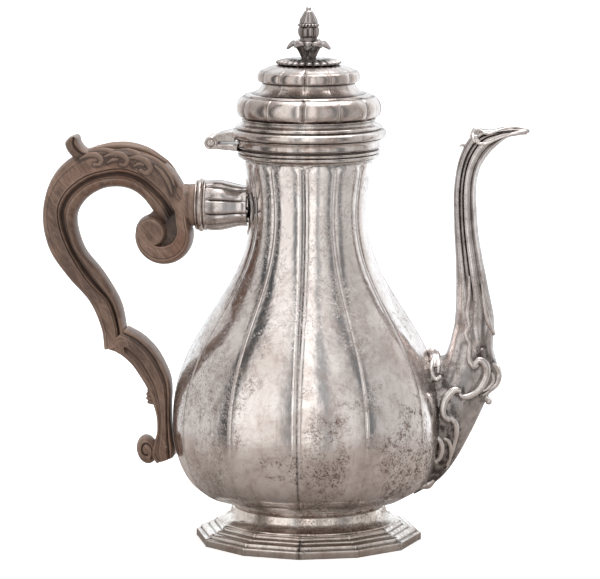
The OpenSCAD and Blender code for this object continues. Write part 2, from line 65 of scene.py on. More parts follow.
BELLY_R = high("body_shell", X)
BELLY_Z = 62.0
WAIST_R = 29.9
WAIST_Z = 174.0
NECK_R = 33.4
WALL = 0.9
BASE_Z = low("body_shell", Z)
COLLAR_R = 40.8
FOOT_R = high("plinth_band", X)
FOOT_TOP = high("foot", Z)
PLINTH_H = high("plinth_band", Z)
BEAD_Z = low("neck_moulding", Z)
RIM_Z = high("rim_band", Z)
LID_Z = low("lid_flange", Z)
TIER_Z = high("lid_flange", Z)
CROWN_Z = low("lid_upper_tier", Z)
CROWN_TOP = high("lid_upper_tier", Z)
LEAF_Z = low("finial_leaves", Z)
BUD_Z = low("finial_bud", Z)
SOCKET_Z = 176.0
RING_X = high("socket_ring", X)
WOOD_X = low("socket_ring", X)


# Curves and surfaces --------------------------------------------------------
def bezier(a, b, c, d, count):
    t = np.linspace(0, 1, count)[:, None]
    a, b, c, d = (np.array(p, float) for p in (a, b, c, d))
    return (1 - t) ** 3 * a + 3 * (1 - t) ** 2 * t * b + 3 * (1 - t) * t**2 * c + t**3 * d


def spline(points, count):
    """A smooth curve through the points, with count samples on each span."""
    p = np.array(points, float)
    p = np.vstack([2 * p[0] - p[1], p, 2 * p[-1] - p[-2]])
    t = (np.arange(count) / count)[:, None]
    rows = []
    for i in range(1, len(p) - 2):
        a, b, c, d = p[i - 1 : i + 3]
        rows.append(0.5 * (2 * b + (c - a) * t + (2 * a - 5 * b + 4 * c - d) * t**2
            + (3 * b - a - 3 * c + d) * t**3))
    return np.vstack(rows + [p[-2:-1]])


def steps(points, count=4):
    """Straight spans between the points, each cut into count parts."""
    p = np.array(points, float)
    t = (np.arange(count) / count)[:, None]
    return np.vstack([p[i] + (p[i + 1] - p[i]) * t for i in range(len(p) - 1)] + [p[-1:]])


def arc(centre, radius, start, end, count=6):
    a = np.radians(np.linspace(start, end, count))
    return np.stack([centre[0] + radius * np.cos(a), centre[1] + radius * np.sin(a)], -1)


def full_turn(count):
    return np.linspace(0, 2 * math.pi, count, endpoint=False)[None, :]


def chain(*parts):
    return np.vstack([np.array(p, float).reshape(-1, 2) for p in parts])


def ease(x, a, b):
    t = np.clip((x - a) / (b - a), 0, 1)
    return t * t * (3 - 2 * t)


def bump(x, centre, width):
    return np.exp(-(((x - centre) / width) ** 2))


class Shape:
    """The points, faces and darkening of one piece while it is being made: grime in its joints and painted
    shade in its creases, grooves and hollows.
    """

    def __init__(self):
        self.points, self.grime, self.faces, self.count = [], [], [], 0

    def grid(self, points, closed=True, grime=0.0, ends=False):
        """Adds a sheet from rows of points. closed joins its sides, and ends closes its two ends."""
        rows, cols = points.shape[:2]
        r = np.arange(rows - 1)[:, None] * cols
        c = np.arange(cols if closed else cols - 1)[None, :]
        after = (c + 1) % cols
        quads = np.stack([r + c, r + after, r + cols + after, r + cols + c], -1).reshape(-1, 4)
        self.faces += (quads + self.count).tolist()
        if ends:
            self.faces.append((self.count + np.arange(cols))[::-1].tolist())
            self.faces.append((self.count + (rows - 1) * cols + np.arange(cols)).tolist())
        self.points.append(points.reshape(-1, 3))
        self.grime.append(np.broadcast_to(grime, (rows, cols)).reshape(-1))
        self.count += rows * cols
        return self

    def mirrored(self):
        """Adds the same points and faces on the other side of the pot."""
        points = np.vstack(self.points) * (1, -1, 1)
        self.faces += [[i + self.count for i in reversed(face)] for face in self.faces]
        self.points.append(points)
        self.grime.append(np.concatenate(self.grime))
        self.count *= 2
        return self

    def build(self, name, body, material, slot, nodes=(), sharp=38):
        mesh = bpy.data.meshes.new(name)
        mesh.from_pydata((np.vstack(self.points) * MM).tolist(), [], self.faces)
        mesh.validate()
        work = bmesh.new()
        work.from_mesh(mesh)
        bmesh.ops.recalc_face_normals(work, faces=work.faces)
        work.to_mesh(mesh)
        work.free()
        mesh.polygons.foreach_set("use_smooth", [True] * len(mesh.polygons))
        mesh.set_sharp_from_angle(angle=math.radians(sharp))
        # This attribute darkens the colour: real grime in the joints, and painted shade in creases, grooves,
        # hollows and undersides.
        mesh.attributes.new("grime", "FLOAT", "POINT").data.foreach_set("value", np.concatenate(self.grime))
        mesh.materials.append(material)
        made = bpy.data.objects.new(name, mesh)
        scene.collection.objects.link(made)
        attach(made, body)
        if nodes:
            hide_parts(*nodes)
        return made


def around(radius, height, angles):
    """Points at the given radius and height for each angle round the Z axis."""
    radius, height, angles = np.broadcast_arrays(radius, height, angles)
    return np.stack([radius * np.cos(angles), radius * np.sin(angles), height], -1)


ROUND = full_turn(180)


def turned(shape, outline, base=0.0, grime=0.1, lines=(), width=0.35):
    """A round surface from (radius, height above base) points, with dark lines of grime and painted shade at
    the given heights.
    """
    outline = np.array(outline, float)
    for line in lines:
        grime = np.maximum(grime, 0.85 * bump(outline[:, 1:], line, width))
    return shape.grid(around(outline[:, :1], outline[:, 1:] + base, ROUND), grime=grime)


def panel_columns(each):
    """Angles round a panelled part, closest beside the corners, with each one's place across its panel."""
    across = np.sin(np.linspace(-1, 1, each + 1)[:-1] * math.pi / 2)
    turn = np.arctan(across * math.tan(HALF))
    middles = (2 * np.arange(PANELS)[:, None] + 1) * HALF
    return (middles + turn).ravel()[None, :], np.tile(turn, PANELS)[None, :], np.tile(across, PANELS)[None, :]


ANGLES, TURN, ACROSS = panel_columns(24)
# 1 on the columns beside the front and back corners, where the metal was joined
JOIN = (np.abs(np.cos(np.round(ANGLES / (2 * HALF)) * 2 * HALF)) < 0.1).astype(float)


def pillowed(corner_r, crown, valley, width=1.3, ridge=0.0):
    """Radius of twelve pillowed panels that meet in valleys, and the darkening at each point: a dark joint in
    the front and back valleys, painted shade in the others, and painted dark reflection in a thin band beside
    each raised line.
    A raised line runs along each valley except the front and back ones."""
    gap = (1 - np.abs(ACROSS)) * corner_r * math.sin(HALF)
    seam = np.exp(-((gap / width) ** 2))
    valley = valley * (0.2 + 0.8 * JOIN)
    line = ridge * (1 - JOIN) * np.exp(-((gap / 0.42) ** 2))
    flat = corner_r * math.cos(HALF) / np.cos(TURN)
    depth = np.exp(-((gap / (0.45 * width)) ** 2)) * (0.15 + 0.85 * JOIN) \
        + (1 - JOIN) * 0.22 * np.exp(-(((gap - 1.0) / 0.4) ** 2))
    return flat + crown * (1 - ACROSS**2) - valley * seam + line, np.clip(depth, 0, 1)


def cornered(corner_r, ridge=0.35):
    """Radius of twelve flat panels with a thin raised line on each corner, and the darkening beside them: a
    dark joint at the front and back corners and a band of painted shade beside every line.
    """
    gap = (1 - np.abs(ACROSS)) * corner_r * math.sin(HALF)
    line = np.exp(-((gap / 0.5) ** 2))
    return (corner_r * math.cos(HALF) / np.cos(TURN) + ridge * line * (1 - 2.2 * JOIN),
        JOIN * np.exp(-((gap / 0.7) ** 2)) + 0.35 * np.exp(-(((gap - 1.2) / 0.5) ** 2)))


# Materials ------------------------------------------------------------------
class Graph:
    """Adds linked nodes to a material or to the world."""

    def __init__(self, owner):
        owner.use_nodes = True
        self.tree = owner.node_tree
        self.tree.nodes.clear()

    def node(self, kind, inputs=(), **settings):
        made = self.tree.nodes.new("ShaderNode" + kind)
        for key, value in settings.items():
            setattr(made, key, value)
        for key, value in dict(inputs).items():
            if isinstance(value, bpy.types.NodeSocket):
                self.tree.links.new(value, made.inputs[key])
            else:
                made.inputs[key].default_value = value
        return made

    def scaled(self, vector, x, y, z):
        return self.node("Mapping", {"Vector": vector, "Scale": (x, y, z)}).outputs[0]

    def noise(self, vector, scale, detail=4.0, rough=0.55, distortion=0.0):
        return self.node("TexNoise", {"Vector": vector, "Scale": scale, "Detail": detail,
            "Roughness": rough, "Distortion": distortion}).outputs[0]

    def fit(self, value, low, high, to_low=0.0, to_high=1.0):
        return self.node("MapRange", {0: value, 1: low, 2: high, 3: to_low, 4: to_high},
            interpolation_type="SMOOTHSTEP").outputs[0]

    def maths(self, operation, a, b=0.0):
        return self.node("Math", {0: a, 1: b}, operation=operation).outputs[0]

    def plus(self, a, b):
        return self.maths("ADD", a, b)

    def times(self, a, b):
        return self.maths("MULTIPLY", a, b)

    def mix(self, share, a, b, blend="MIX"):
        return self.node("Mix", {0: share, 6: a, 7: b}, data_type="RGBA", blend_type=blend).outputs[2]

    def ramp(self, value, stops):
        made = self.node("ValToRGB", {0: value})
        points = made.color_ramp.elements
        while len(points) < len(stops):
            points.new(0.5)
        for point, (place, colour) in zip(points, stops):
            point.position = place
            point.color = (*colour, 1)
        return made.outputs[0]

    def attribute(self, name):
        return self.node("Attribute", attribute_name=name).outputs["Fac"]


def silver(name, bright, stained, rough, pits, waves, recess_shade=0.0, clean_top=1.0):
    """Old polished silver: clouded tarnish, rubbed streaks, brown mottles, pits, and grime with painted shade
    in the seams and hollows.
    """
    material = bpy.data.materials.new(name)
    g = Graph(material)
    place = g.node("TexCoord").outputs["Object"]
    axes = g.node("SeparateXYZ", {0: place}).outputs
    height = axes[2]
    cloud = g.noise(place, 22, 8, 0.72, 0.8)
    mottle = g.noise(place, 150, 7, 0.75, 0.5)
    streak = g.noise(g.scaled(place, 260, 260, 14), 1, 6, 0.65)
    tarnish = g.plus(g.fit(cloud, 0.42, 0.60, 0, 0.6), g.fit(mottle, 0.47, 0.62, 0, 0.4))
    tarnish = g.plus(tarnish, g.fit(streak, 0.52, 0.68, 0, 0.3))
    tarnish = g.times(tarnish, g.fit(height, 0.11, 0.17, 1.0, clean_top))
    colour = g.mix(tarnish, (*bright, 1), (*stained, 1))
    # Brown mottles, mostly low down and towards the spout
    lower = g.fit(height, 0.02, 0.19, 1.0, 0.25)
    aside = g.fit(axes[0], -0.06, 0.05, 0.55, 1.0)
    worn = g.times(g.times(lower, aside), pits)
    patch = g.fit(g.noise(place, 30, 7, 0.75, 0.5), 0.46, 0.60)
    crust = g.times(g.fit(g.noise(place, 320, 8, 0.8, 0.2), 0.49, 0.60), patch)
    colour = g.mix(g.times(crust, g.times(worn, 0.8)), colour,
        (0.30, 0.225, 0.195, 1))
    speck = g.times(g.fit(g.noise(place, 820, 6, 0.85, 0.2), 0.535, 0.59), patch)
    pitting = g.times(speck, worn)
    rusty = g.mix(g.noise(place, 90, 2), (0.085, 0.06, 0.05, 1), (0.20, 0.125, 0.095, 1))
    colour = g.mix(pitting, colour, rusty)
    # Grime and painted shade: the mesh's darkening attribute broken up by noise, and painted shade in hollows
    # from low pointiness, mix in a near-black.
    seam = g.attribute("grime")
    uneven = g.fit(g.noise(place, 260, 5, 0.75), 0.36, 0.60, 0.45, 1.0)
    dirt_and_shade = g.times(seam, uneven)
    if recess_shade:
        hollow = g.fit(g.node("NewGeometry").outputs["Pointiness"], 0.497, 0.45, 0, recess_shade)
        dirt_and_shade = g.maths("MAXIMUM", dirt_and_shade, hollow)
    colour = g.mix(dirt_and_shade, colour, (0.05, 0.04, 0.036, 1))
    scratch = g.noise(g.scaled(place, 900, 900, 130), 1, 3, 0.6)
    roughness = g.plus(rough, g.times(tarnish, 0.12))
    roughness = g.plus(roughness, g.fit(scratch, 0.4, 0.75, 0, 0.06))
    roughness = g.plus(roughness, g.times(g.plus(pitting, crust), 0.16))
    roughness = g.plus(roughness, g.times(dirt_and_shade, 0.25))
    swell = g.noise(place, 55, 3, 0.55)
    dents = g.node("Bump", {"Height": swell, "Distance": waves, "Strength": 0.7}).outputs[0]
    fine = g.maths("SUBTRACT", g.times(scratch, 0.2), pitting)
    skin = g.node("Bump", {"Height": fine, "Distance": 0.00016, "Strength": 0.6, "Normal": dents}).outputs[0]
    shader = g.node("BsdfPrincipled", {"Base Color": colour, "Metallic": 1.0, "Roughness": roughness,
        "Normal": skin}).outputs[0]
    g.node("OutputMaterial", {"Surface": shader})
    return material


def carved_wood(name):
    """Dark carved fruitwood with a satin wax finish, lighter on its worn edges with a painted highlight, and
    darkened by grime and painted shade in its hollows.
    """
    material = bpy.data.materials.new(name)
    g = Graph(material)
    place = g.node("TexCoord").outputs["Object"]
    tilted = g.node("Mapping", {"Vector": place, "Rotation": (0, math.radians(35), 0)}).outputs[0]
    grain = g.noise(g.scaled(tilted, 520, 420, 110), 1, 7, 0.7, 0.5)
    pores = g.noise(g.scaled(tilted, 2600, 1800, 260), 1, 3, 0.6)
    cloud = g.noise(place, 40, 6, 0.65)
    colour = g.ramp(grain, [(0.34, (0.115, 0.068, 0.048)), (0.5, (0.215, 0.135, 0.099)),
        (0.66, (0.315, 0.208, 0.155))])
    shade = g.node("CombineXYZ", {i: g.fit(cloud, 0.38, 0.62, 0.72, 1.2) for i in (0, 1, 2)}).outputs[0]
    colour = g.mix(1.0, colour, shade, "MULTIPLY")
    red = g.fit(g.noise(place, 32, 3, 0.6), 0.5, 0.68, 0, 0.55)
    colour = g.mix(red, colour, (0.27, 0.13, 0.085, 1))
    colour = g.mix(g.fit(pores, 0.6, 0.68, 0, 0.7), colour, (0.035, 0.02, 0.014, 1))
    point = g.node("NewGeometry").outputs["Pointiness"]
    # Worn edges where pointiness is high: lighter wood from wear and a painted highlight
    worn = g.times(g.fit(point, 0.505, 0.54, 0, 0.75), g.fit(cloud, 0.35, 0.6, 0.3, 1.0))
    colour = g.mix(worn, colour, (0.38, 0.265, 0.205, 1))
    # Grime and painted shade in the hollows, from the darkening attribute and low pointiness
    crevice_grime_and_shade = g.maths("MAXIMUM", g.attribute("grime"), g.fit(point, 0.496, 0.455, 0, 0.9))
    colour = g.mix(crevice_grime_and_shade, colour, (0.028, 0.016, 0.012, 1))
    roughness = g.plus(g.fit(cloud, 0.3, 0.7, 0.3, 0.46), g.fit(pores, 0.55, 0.7, 0, 0.15))
    height = g.plus(g.times(grain, 0.5), g.times(pores, -0.5))
    normal = g.node("Bump", {"Height": height, "Distance": 0.00025, "Strength": 0.45}).outputs[0]
    shader = g.node("BsdfPrincipled", {"Base Color": colour, "Roughness": roughness,
        "Normal": normal}).outputs[0]
    g.node("OutputMaterial", {"Surface": shader})
    return material


BODY_SILVER = silver("body_silver", (0.90, 0.86, 0.84), (0.60, 0.525, 0.495), 0.07, 1.4, 0.0006, 0.35, 0.55)
TRIM_SILVER = silver("trim_silver", (0.86, 0.81, 0.78), (0.46, 0.385, 0.35), 0.10, 0.7, 0.0003, 0.9)
LID_SILVER = silver("lid_silver", (0.75, 0.69, 0.66), (0.44, 0.37, 0.34), 0.14, 0.4, 0.0004, 0.8)
# The foot's silver is a lighter copy, painted light that brightens the shaded foot.
FOOT_SILVER = silver("foot_silver", (0.97, 0.92, 0.87), (0.64, 0.54, 0.48), 0.09, 0.6, 0.0003, 0.9)
CAST_SILVER = silver("cast_silver", (0.72, 0.68, 0.665), (0.35, 0.30, 0.28), 0.10, 0.5, 0.0004, 1.0)
SCROLL_SILVER = silver("scroll_silver", (0.86, 0.82, 0.80), (0.50, 0.44, 0.42), 0.10, 0.3, 0.0002, 1.0)
WOOD = carved_wood("carved_wood")


# Body -----------------------------------------------------------------------
def body_outline():
    lower = bezier([COLLAR_R, BASE_Z], [COLLAR_R + 0.69 * (BELLY_R - COLLAR_R), BASE_Z - 1],
        [BELLY_R, BASE_Z + 0.45 * (BELLY_Z - BASE_Z)], [BELLY_R, BELLY_Z], 34)
    shoulder = bezier([BELLY_R, BELLY_Z], [BELLY_R, BELLY_Z + 0.45 * (WAIST_Z - BELLY_Z)],
        [WAIST_R, WAIST_Z - 0.4 * (WAIST_Z - BELLY_Z)], [WAIST_R, WAIST_Z], 74)
    rise = BEAD_Z - WAIST_Z
    neck = bezier([WAIST_R, WAIST_Z], [WAIST_R, WAIST_Z + 0.4 * rise],
        [NECK_R - 1, WAIST_Z + 0.7 * rise], [NECK_R, BEAD_Z], 24)
    top = neck[-1]
    plain = neck[neck[:, 1] < BEAD_Z - 7]
    fine_z = np.linspace(plain[-1, 1], top[1], 30)[1:]
    fine_r = np.interp(fine_z, neck[:, 1], neck[:, 0])
    return np.vstack([lower[:-1], shoulder[:-1], plain, np.stack([fine_r, fine_z], -1)])


OUTLINE = body_outline()


def make_body():
    radius, height = OUTLINE[:, :1], OUTLINE[:, 1:]
    crown = 1.65 + 0.4 * bump(height, BELLY_Z + 10, 55)
    fade_in = ease(height, BASE_Z, BASE_Z + 9)
    valley = 0.35 + 0.45 * fade_in
    lobes, seam = pillowed(radius, crown * fade_in, valley, 1.1, 0.42 * fade_in)
    scallop = BEAD_Z - 3.2 + 2.2 * (1 - ACROSS**2)
    end = ease(height, scallop - 0.4, scallop + 0.5)
    cushion = 0.55 * bump(height, scallop, 1.6) * (height < scallop)
    plain = radius * 0.982 - 0.1
    skin = (lobes - cushion) * (1 - end) + plain * end
    # Grime and painted shade: dark in the creases, more so low down, in a line where the panels end under the
    # neck, round the foot of the body and under the neck bead.
    grime = np.maximum(seam * (0.9 - 0.4 * ease(height, 60, 150)), 0.4 * bump(height, scallop + 0.2, 0.3))
    grime = np.maximum(grime, 0.55 * bump(height, BASE_Z + 1, 5))
    grime = np.maximum(grime, 0.75 * bump(height, BEAD_Z - 0.5, 0.9))
    # Painted shade round the root of the spout
    aside = np.abs(np.arctan2(np.sin(ANGLES), np.cos(ANGLES)))
    grime = np.maximum(grime, 0.75 * (1 - ease(aside, 0.24, 0.4)) * (1 - ease(height, 88, 104)))
    shape = Shape()
    shape.grid(around(skin, height, ANGLES), grime=grime)
    inner_r = np.maximum(OUTLINE[:, 0] * math.cos(HALF) - WALL, 1)
    inner = np.stack([inner_r, OUTLINE[:, 1] + WALL * ease(OUTLINE[:, 1], 60, 30)], -1)
    lip = [[NECK_R * 0.982, BEAD_Z], [NECK_R * 0.982, RIM_Z - 0.5], [NECK_R - 0.5, RIM_Z - 0.1],
        [inner_r[-1], RIM_Z - 0.4]]
    # The lip and inner wall, darkened a little by painted shade
    turned(shape, chain(lip, inner[::-1], [[0.5, BASE_Z + WALL]]), grime=0.25)
    return shape.build("raised_body", "pot", BODY_SILVER, "silver", ["body_shell"], sharp=60)


def make_mouldings():
    collar = Shape()
    turned(collar, chain([[37.6, -0.4]], arc((38.6, 0.35), 0.75, -90, 90, 8),
        arc((39.9, 1.75), 1.05, -80, 85, 10), [[39.2, BASE_Z + 0.7 - FOOT_TOP]]), FOOT_TOP, grime=0.15)
    collar.build("foot_collar", "pot", TRIM_SILVER, "silver", ["base_collar"])
    neck = Shape()
    turned(neck, chain([[NECK_R - 1.2, -0.9]],
        bezier((33.3, -0.7), (34.2, -0.4), (35.2, -0.1), (35.6, 0.5), 6), [[35.4, 0.75]],
        arc((35.9, 1.9), 1.15, -80, 80, 12), [[35.9, 3.1]], arc((36.5, 4.0), 0.85, -80, 80, 12),
        [[36.0, 4.9], [35.9, 5.6], [36.6, 6.0], [37.4, 6.1], [37.6, 6.4], [37.2, 6.7], [35.9, 6.8]]),
        BEAD_Z, lines=[0.7, 3.1, 5.3])
    neck.build("neck_beads", "pot", TRIM_SILVER, "silver", ["neck_moulding"])
    rim = Shape()
    band_z = low("rim_band", Z)
    turned(rim, chain([[NECK_R, -0.1], [36.9, -0.1], [37.2, 0.1]],
        bezier((37.3, 0.2), (36.8, 1.2), (36.9, 3.0), (38.0, 3.9), 12),
        [[38.3, 4.1], [38.35, 4.3], [38.1, 4.5], [NECK_R - 0.4, RIM_Z - band_z]]),
        band_z, lines=[0, 4.55], width=0.25)
    rim.build("rim_moulding", "pot", TRIM_SILVER, "silver", ["rim_band"])


DISC_R = 47.2
COVE_R = 37.8


def make_foot():
    plinth = Shape()
    # Outlines of the plinth and the steps start from the top of the plinth's edge
    edge = np.array([FOOT_R, PLINTH_H])
    bottom = -PLINTH_H
    profile = edge + chain([[-2.4, 0], [-2.4, 0.3 + bottom], [-2.1, bottom], [-0.3, bottom],
        [0, 0.3 + bottom]], steps([[0, 0.5 + bottom], [0, -0.6]], 4), [[-0.1, -0.25], [-0.5, 0], [-2.4, 0]])
    radius, join = cornered(profile[:, :1])
    plinth.grid(around(radius, profile[:, 1:], ANGLES), grime=np.minimum(0.1 + 0.8 * join, 1))
    plinth.build("plinth", "pot", FOOT_SILVER, "silver", ["plinth_band"], sharp=30)
    disc = DISC_R - FOOT_R
    stepped = chain([[-0.6, -0.05], [-1.5, 0.25], [-2.1, 0.3]],
        bezier((-2.2, 0.5), (-2.2, 1.6), (-3.2, 2.4), (-5.2, 2.5), 10),
        [[-5.7, 2.35], [-6.2, 2.3], [-6.5, 2.5]],
        bezier((-6.6, 2.6), (-6.8, 3.4), (-7.6, 3.8), (-8.8, 3.85), 8), [[-9.2, 3.75], [-9.5, 3.9]],
        bezier((-9.6, 4.1), (-9.8, 5.0), (-11, 5.5), (disc + 1.2, 5.9), 8),
        [[disc + 0.4, 6.15], [disc - 0.6, 6.2], [disc - 3.5, 6.2]])
    foot = Shape()
    reach = stepped[:, 0]
    # Grime and painted shade in the grooves between the steps and beside the corner lines
    groove = 0.5 * (bump(reach, -1.8, 0.5) + bump(reach, -6.1, 0.5) + bump(reach, -9.3, 0.35))
    stepped += edge
    radius, join = cornered(stepped[:, :1], 0.45)
    foot.grid(around(radius, stepped[:, 1:], ANGLES),
        grime=np.minimum(0.06 + 1.5 * groove[:, None] + 0.8 * join, 1))
    low_z = 6.6
    rise = FOOT_TOP - PLINTH_H - low_z
    turned(foot, chain([[DISC_R - 0.9, 6.0], [DISC_R - 0.9, 6.4]],
        spline([(DISC_R - 1.0, low_z), (DISC_R - 2.9, low_z + 0.07 * rise), (42.5, low_z + 0.2 * rise),
        (41.2, low_z + 0.42 * rise), (40.6, low_z + 0.66 * rise), (40.0, low_z + 0.88 * rise),
        (COVE_R + 0.7, low_z + rise - 0.1), (COVE_R, low_z + rise)], 8)), PLINTH_H, grime=0.05)
    # Inside of the foot, darkened by painted shade
    top = FOOT_TOP - PLINTH_H
    turned(foot, chain([[37.0, top], [37.0, top - 1.5]],
        bezier((37.4, top - 3), (38, 9), (41, 7.5), (DISC_R - 2.6, 4.8), 10),
        [[FOOT_R - 9.5, 3.0], [FOOT_R - 4.5, 0.4], [FOOT_R - 2.4, 0]]), PLINTH_H, grime=0.4)
    foot.build("stepped_foot", "pot", FOOT_SILVER, "silver", ["foot"], sharp=30)


# Lid ------------------------------------------------------------------------
def make_lid():
    flange = Shape()
    turned(flange, chain([[30.6, 0], [39.4, 0]],
        bezier((39.8, 0.1), (41.0, 1.3), (41.0, 3.1), (39.2, 4.2), 14), [[38.3, 4.35], [37.9, 4.6]],
        arc((37.2, 5.6), 1.05, -60, 85, 10), [[36.6, 6.7]],
        bezier((36.4, 6.8), (35.0, 7.1), (34.6, 7.8), (34.8, 8.8), 8),
        steps([[35.1, 9.0], [35.1, 9.6], [34.6, 9.9]], 2), [[32.2, 10.0], [31.0, 6.0], [30.6, 0]]),
        LID_Z, lines=[0, 4.45, 9.0])
    flange.build("lid_rim", "lid", TRIM_SILVER, "silver", ["lid_flange"])
    tier = chain([[33.2, -0.1]], bezier((34.2, -0.1), (37.6, 0.6), (39.2, 8.0), (34.0, 11.2), 34),
        [[33.5, 11.35]], arc((32.9, 11.85), 0.55, -50, 130, 8), [[32.3, 12.3]],
        bezier((32.0, 12.4), (30.5, 12.6), (29.6, 12.9), (28.8, 13.0), 5))
    radius, height = tier[:, :1], tier[:, 1:]
    body = ease(height, 0, 1.5) * (1 - ease(height, 10.8, 12))
    lobes, seam = pillowed(radius, 1.8 * body, 0.15 + 1.1 * body, 0.8, 0.75 * body)
    lower = Shape()
    # Grime and painted shade in the lobe creases and along the tier's edges
    grime = 0.8 * seam + 0.5 * bump(height, 0.2, 0.8) + 0.8 * bump(height, 11.3, 0.3)
    lower.grid(around(lobes, height + TIER_Z, ANGLES), grime=np.minimum(grime, 1))
    # Inside of the tier, darkened by painted shade
    turned(lower, chain([[32.2, 0]], bezier((33, 0.5), (36, 1.5), (37, 8), (31.0, 11.8), 12), [[28, 12.6]]),
        TIER_Z, grime=0.5)
    lower.build("lower_tier", "lid", LID_SILVER, "silver", ["lid_lower_tier"])
    rise = CROWN_TOP - CROWN_Z
    crown = chain(bezier((30.0, -0.2), (27.2, 0.6), (24.5, 2.6), (24.2, 5.2), 16),
        [[24.5, 5.6], [25.5, 5.9]], bezier((25.9, 6.2), (26.4, 8.5), (26.0, 10.4), (24.6, 11.4), 14),
        [[24.2, 11.5]], bezier((23.9, 11.6), (21.5, 13.4), (19, 14.4), (14, rise - 0.1), 12), [[9, rise]])
    radius, height = crown[:, :1], crown[:, 1:]
    ridge = ease(height, 5.2, 6.5) * (1 - ease(height, 11, 14))
    lobes, seam = pillowed(radius, 0.5 + 1.2 * ridge, 0.3 + 0.8 * ridge, 0.7, 0.15 + 0.5 * ridge)
    upper = Shape()
    # Grime and painted shade in the lobe creases, in the step and at the top and bottom edges
    grime = (0.8 * seam + 0.8 * bump(height, 5.5, 0.35) + 0.6 * bump(height, 0, 0.6)
        + 0.5 * bump(height, 11.45, 0.3))
    upper.grid(around(lobes, height + CROWN_Z, ANGLES), grime=np.minimum(grime, 1))
    # Inside of the crown, darkened by painted shade
    turned(upper, chain([[27.6, 0]], bezier((25, 1), (23.2, 4), (23.8, 6), (24.2, 9), 8),
        [[20, 12.5], [9, rise - 1]]), CROWN_Z, grime=0.5)
    upper.build("upper_tier", "lid", LID_SILVER, "silver", ["lid_upper_tier"])


ROSETTE_PETALS = 26
CALYX_LEAVES = 8


def make_finial():
    angles = full_turn(288) - math.pi / 2
    rosette = Shape()
    rim_r = high("finial_rosette", X)
    profile = chain([[6, 0], [10.8, 0]],
        bezier((11.5, 0.05), (14.5, 0.1), (rim_r - 0.4, 0.2), (rim_r, 0.9), 8),
        bezier((rim_r - 0.1, 1.5), (15, 2.9), (10, 3.3), (5.2, 2.9), 14), [[3.6, 3.4], [2.4, 4.2]])
    radius, height = profile[:, :1], profile[:, 1:]
    outer = ease(radius, 6.5, 13)
    wave = np.abs(np.cos(angles * ROSETTE_PETALS / 2 + 0.35 * np.sin(3 * angles)))
    notch = 1 - (1 - wave**0.7) * 0.085 * outer
    dip = (1 - wave**0.6) * 0.85 * outer * (height > 0.6)
    # Grime and painted shade in the dips between the petals, and a little all over
    rosette.grid(around(radius * notch, height + CROWN_TOP - dip, angles),
        grime=(1 - wave) * 0.9 * outer + 0.25)
    rosette.build("finial_disc", "lid", CAST_SILVER, "cast_silver", ["finial_rosette"], sharp=60)

    leaves = Shape()
    stalk_h = high("finial_leaves", Z) - LEAF_Z
    # Stalk under the leaves, darkened by painted shade
    turned(leaves, bezier((3.4, 0), (3.2, 4), (5.2, 8.6), (4.4, stalk_h), 12), LEAF_Z, grime=0.75)
    for k in range(CALYX_LEAVES):
        # Every other leaf is longer and droops more, except the front one
        turn = math.radians(360 / CALYX_LEAVES * k - 90 + (3 if k % 2 else -2))
        reach, droop = (10.2, 4.2) if k % 2 else (11.6, 5.6)
        if k == 0:
            reach *= 0.72
        path = bezier((2.6, 0.3), (5.6, 7.5), (reach * 0.62, 13.2), (reach, 10.6 - droop), 18)
        width = np.interp(np.linspace(0, 1, 18), [0, 0.35, 0.62, 0.85, 1], [1.5, 3.2, 5.0, 4.0, 0.4])
        leaf(leaves, path + (0, LEAF_Z), width, turn)
    leaves.build("finial_calyx", "lid", CAST_SILVER, "cast_silver", ["finial_leaves"], sharp=50)

    bud = Shape()
    profile = chain([[2.5, -0.6]], bezier((4.0, -0.2), (5.3, 0.2), (5.7, 2.0), (5.5, 4.6), 12),
        [[5.0, 5.0], [4.8, 5.2]], arc((4.8, 6.3), 0.85, -70, 80, 8), [[4.7, 7.5]],
        bezier((4.9, 7.9), (4.8, 9.6), (3.2, 11.4), (2.2, 13.6), 12), [[1.3, 14.0]],
        arc((0.4, 14.8), 1.05, -35, 90, 8))
    radius, height = profile[:, :1], profile[:, 1:]
    ribs = 1 - np.abs(np.cos(angles * 5)) ** 0.6
    bulb = ease(height, -0.4, 0.6) * (1 - ease(height, 4.6, 5.2))
    beads = 1 - np.abs(np.cos(angles * 9)) ** 0.7
    ring = ease(height, 5.3, 5.7) * (1 - ease(height, 6.9, 7.3))
    fluted = ease(height, 7.6, 8.4) * (1 - ease(height, 12.4, 13.6))
    depth = 0.17 * bulb * ribs + 0.13 * ring * beads + 0.10 * fluted * ribs
    # Grime and painted shade in the ribs and between the beads, and in the grooves under and over the bead
    # ring
    grime = ribs * (bulb + 0.6 * fluted) + beads * ring + 0.2 \
        + 0.7 * bump(height, 5.1, 0.3) + 0.7 * bump(height, 7.5, 0.3)
    bud.grid(around(np.maximum(radius * (1 - depth), 0.05), height + BUD_Z, angles),
        grime=np.minimum(grime, 1))
    bud.build("finial_tip", "lid", CAST_SILVER, "cast_silver", ["finial_bud"], sharp=60)


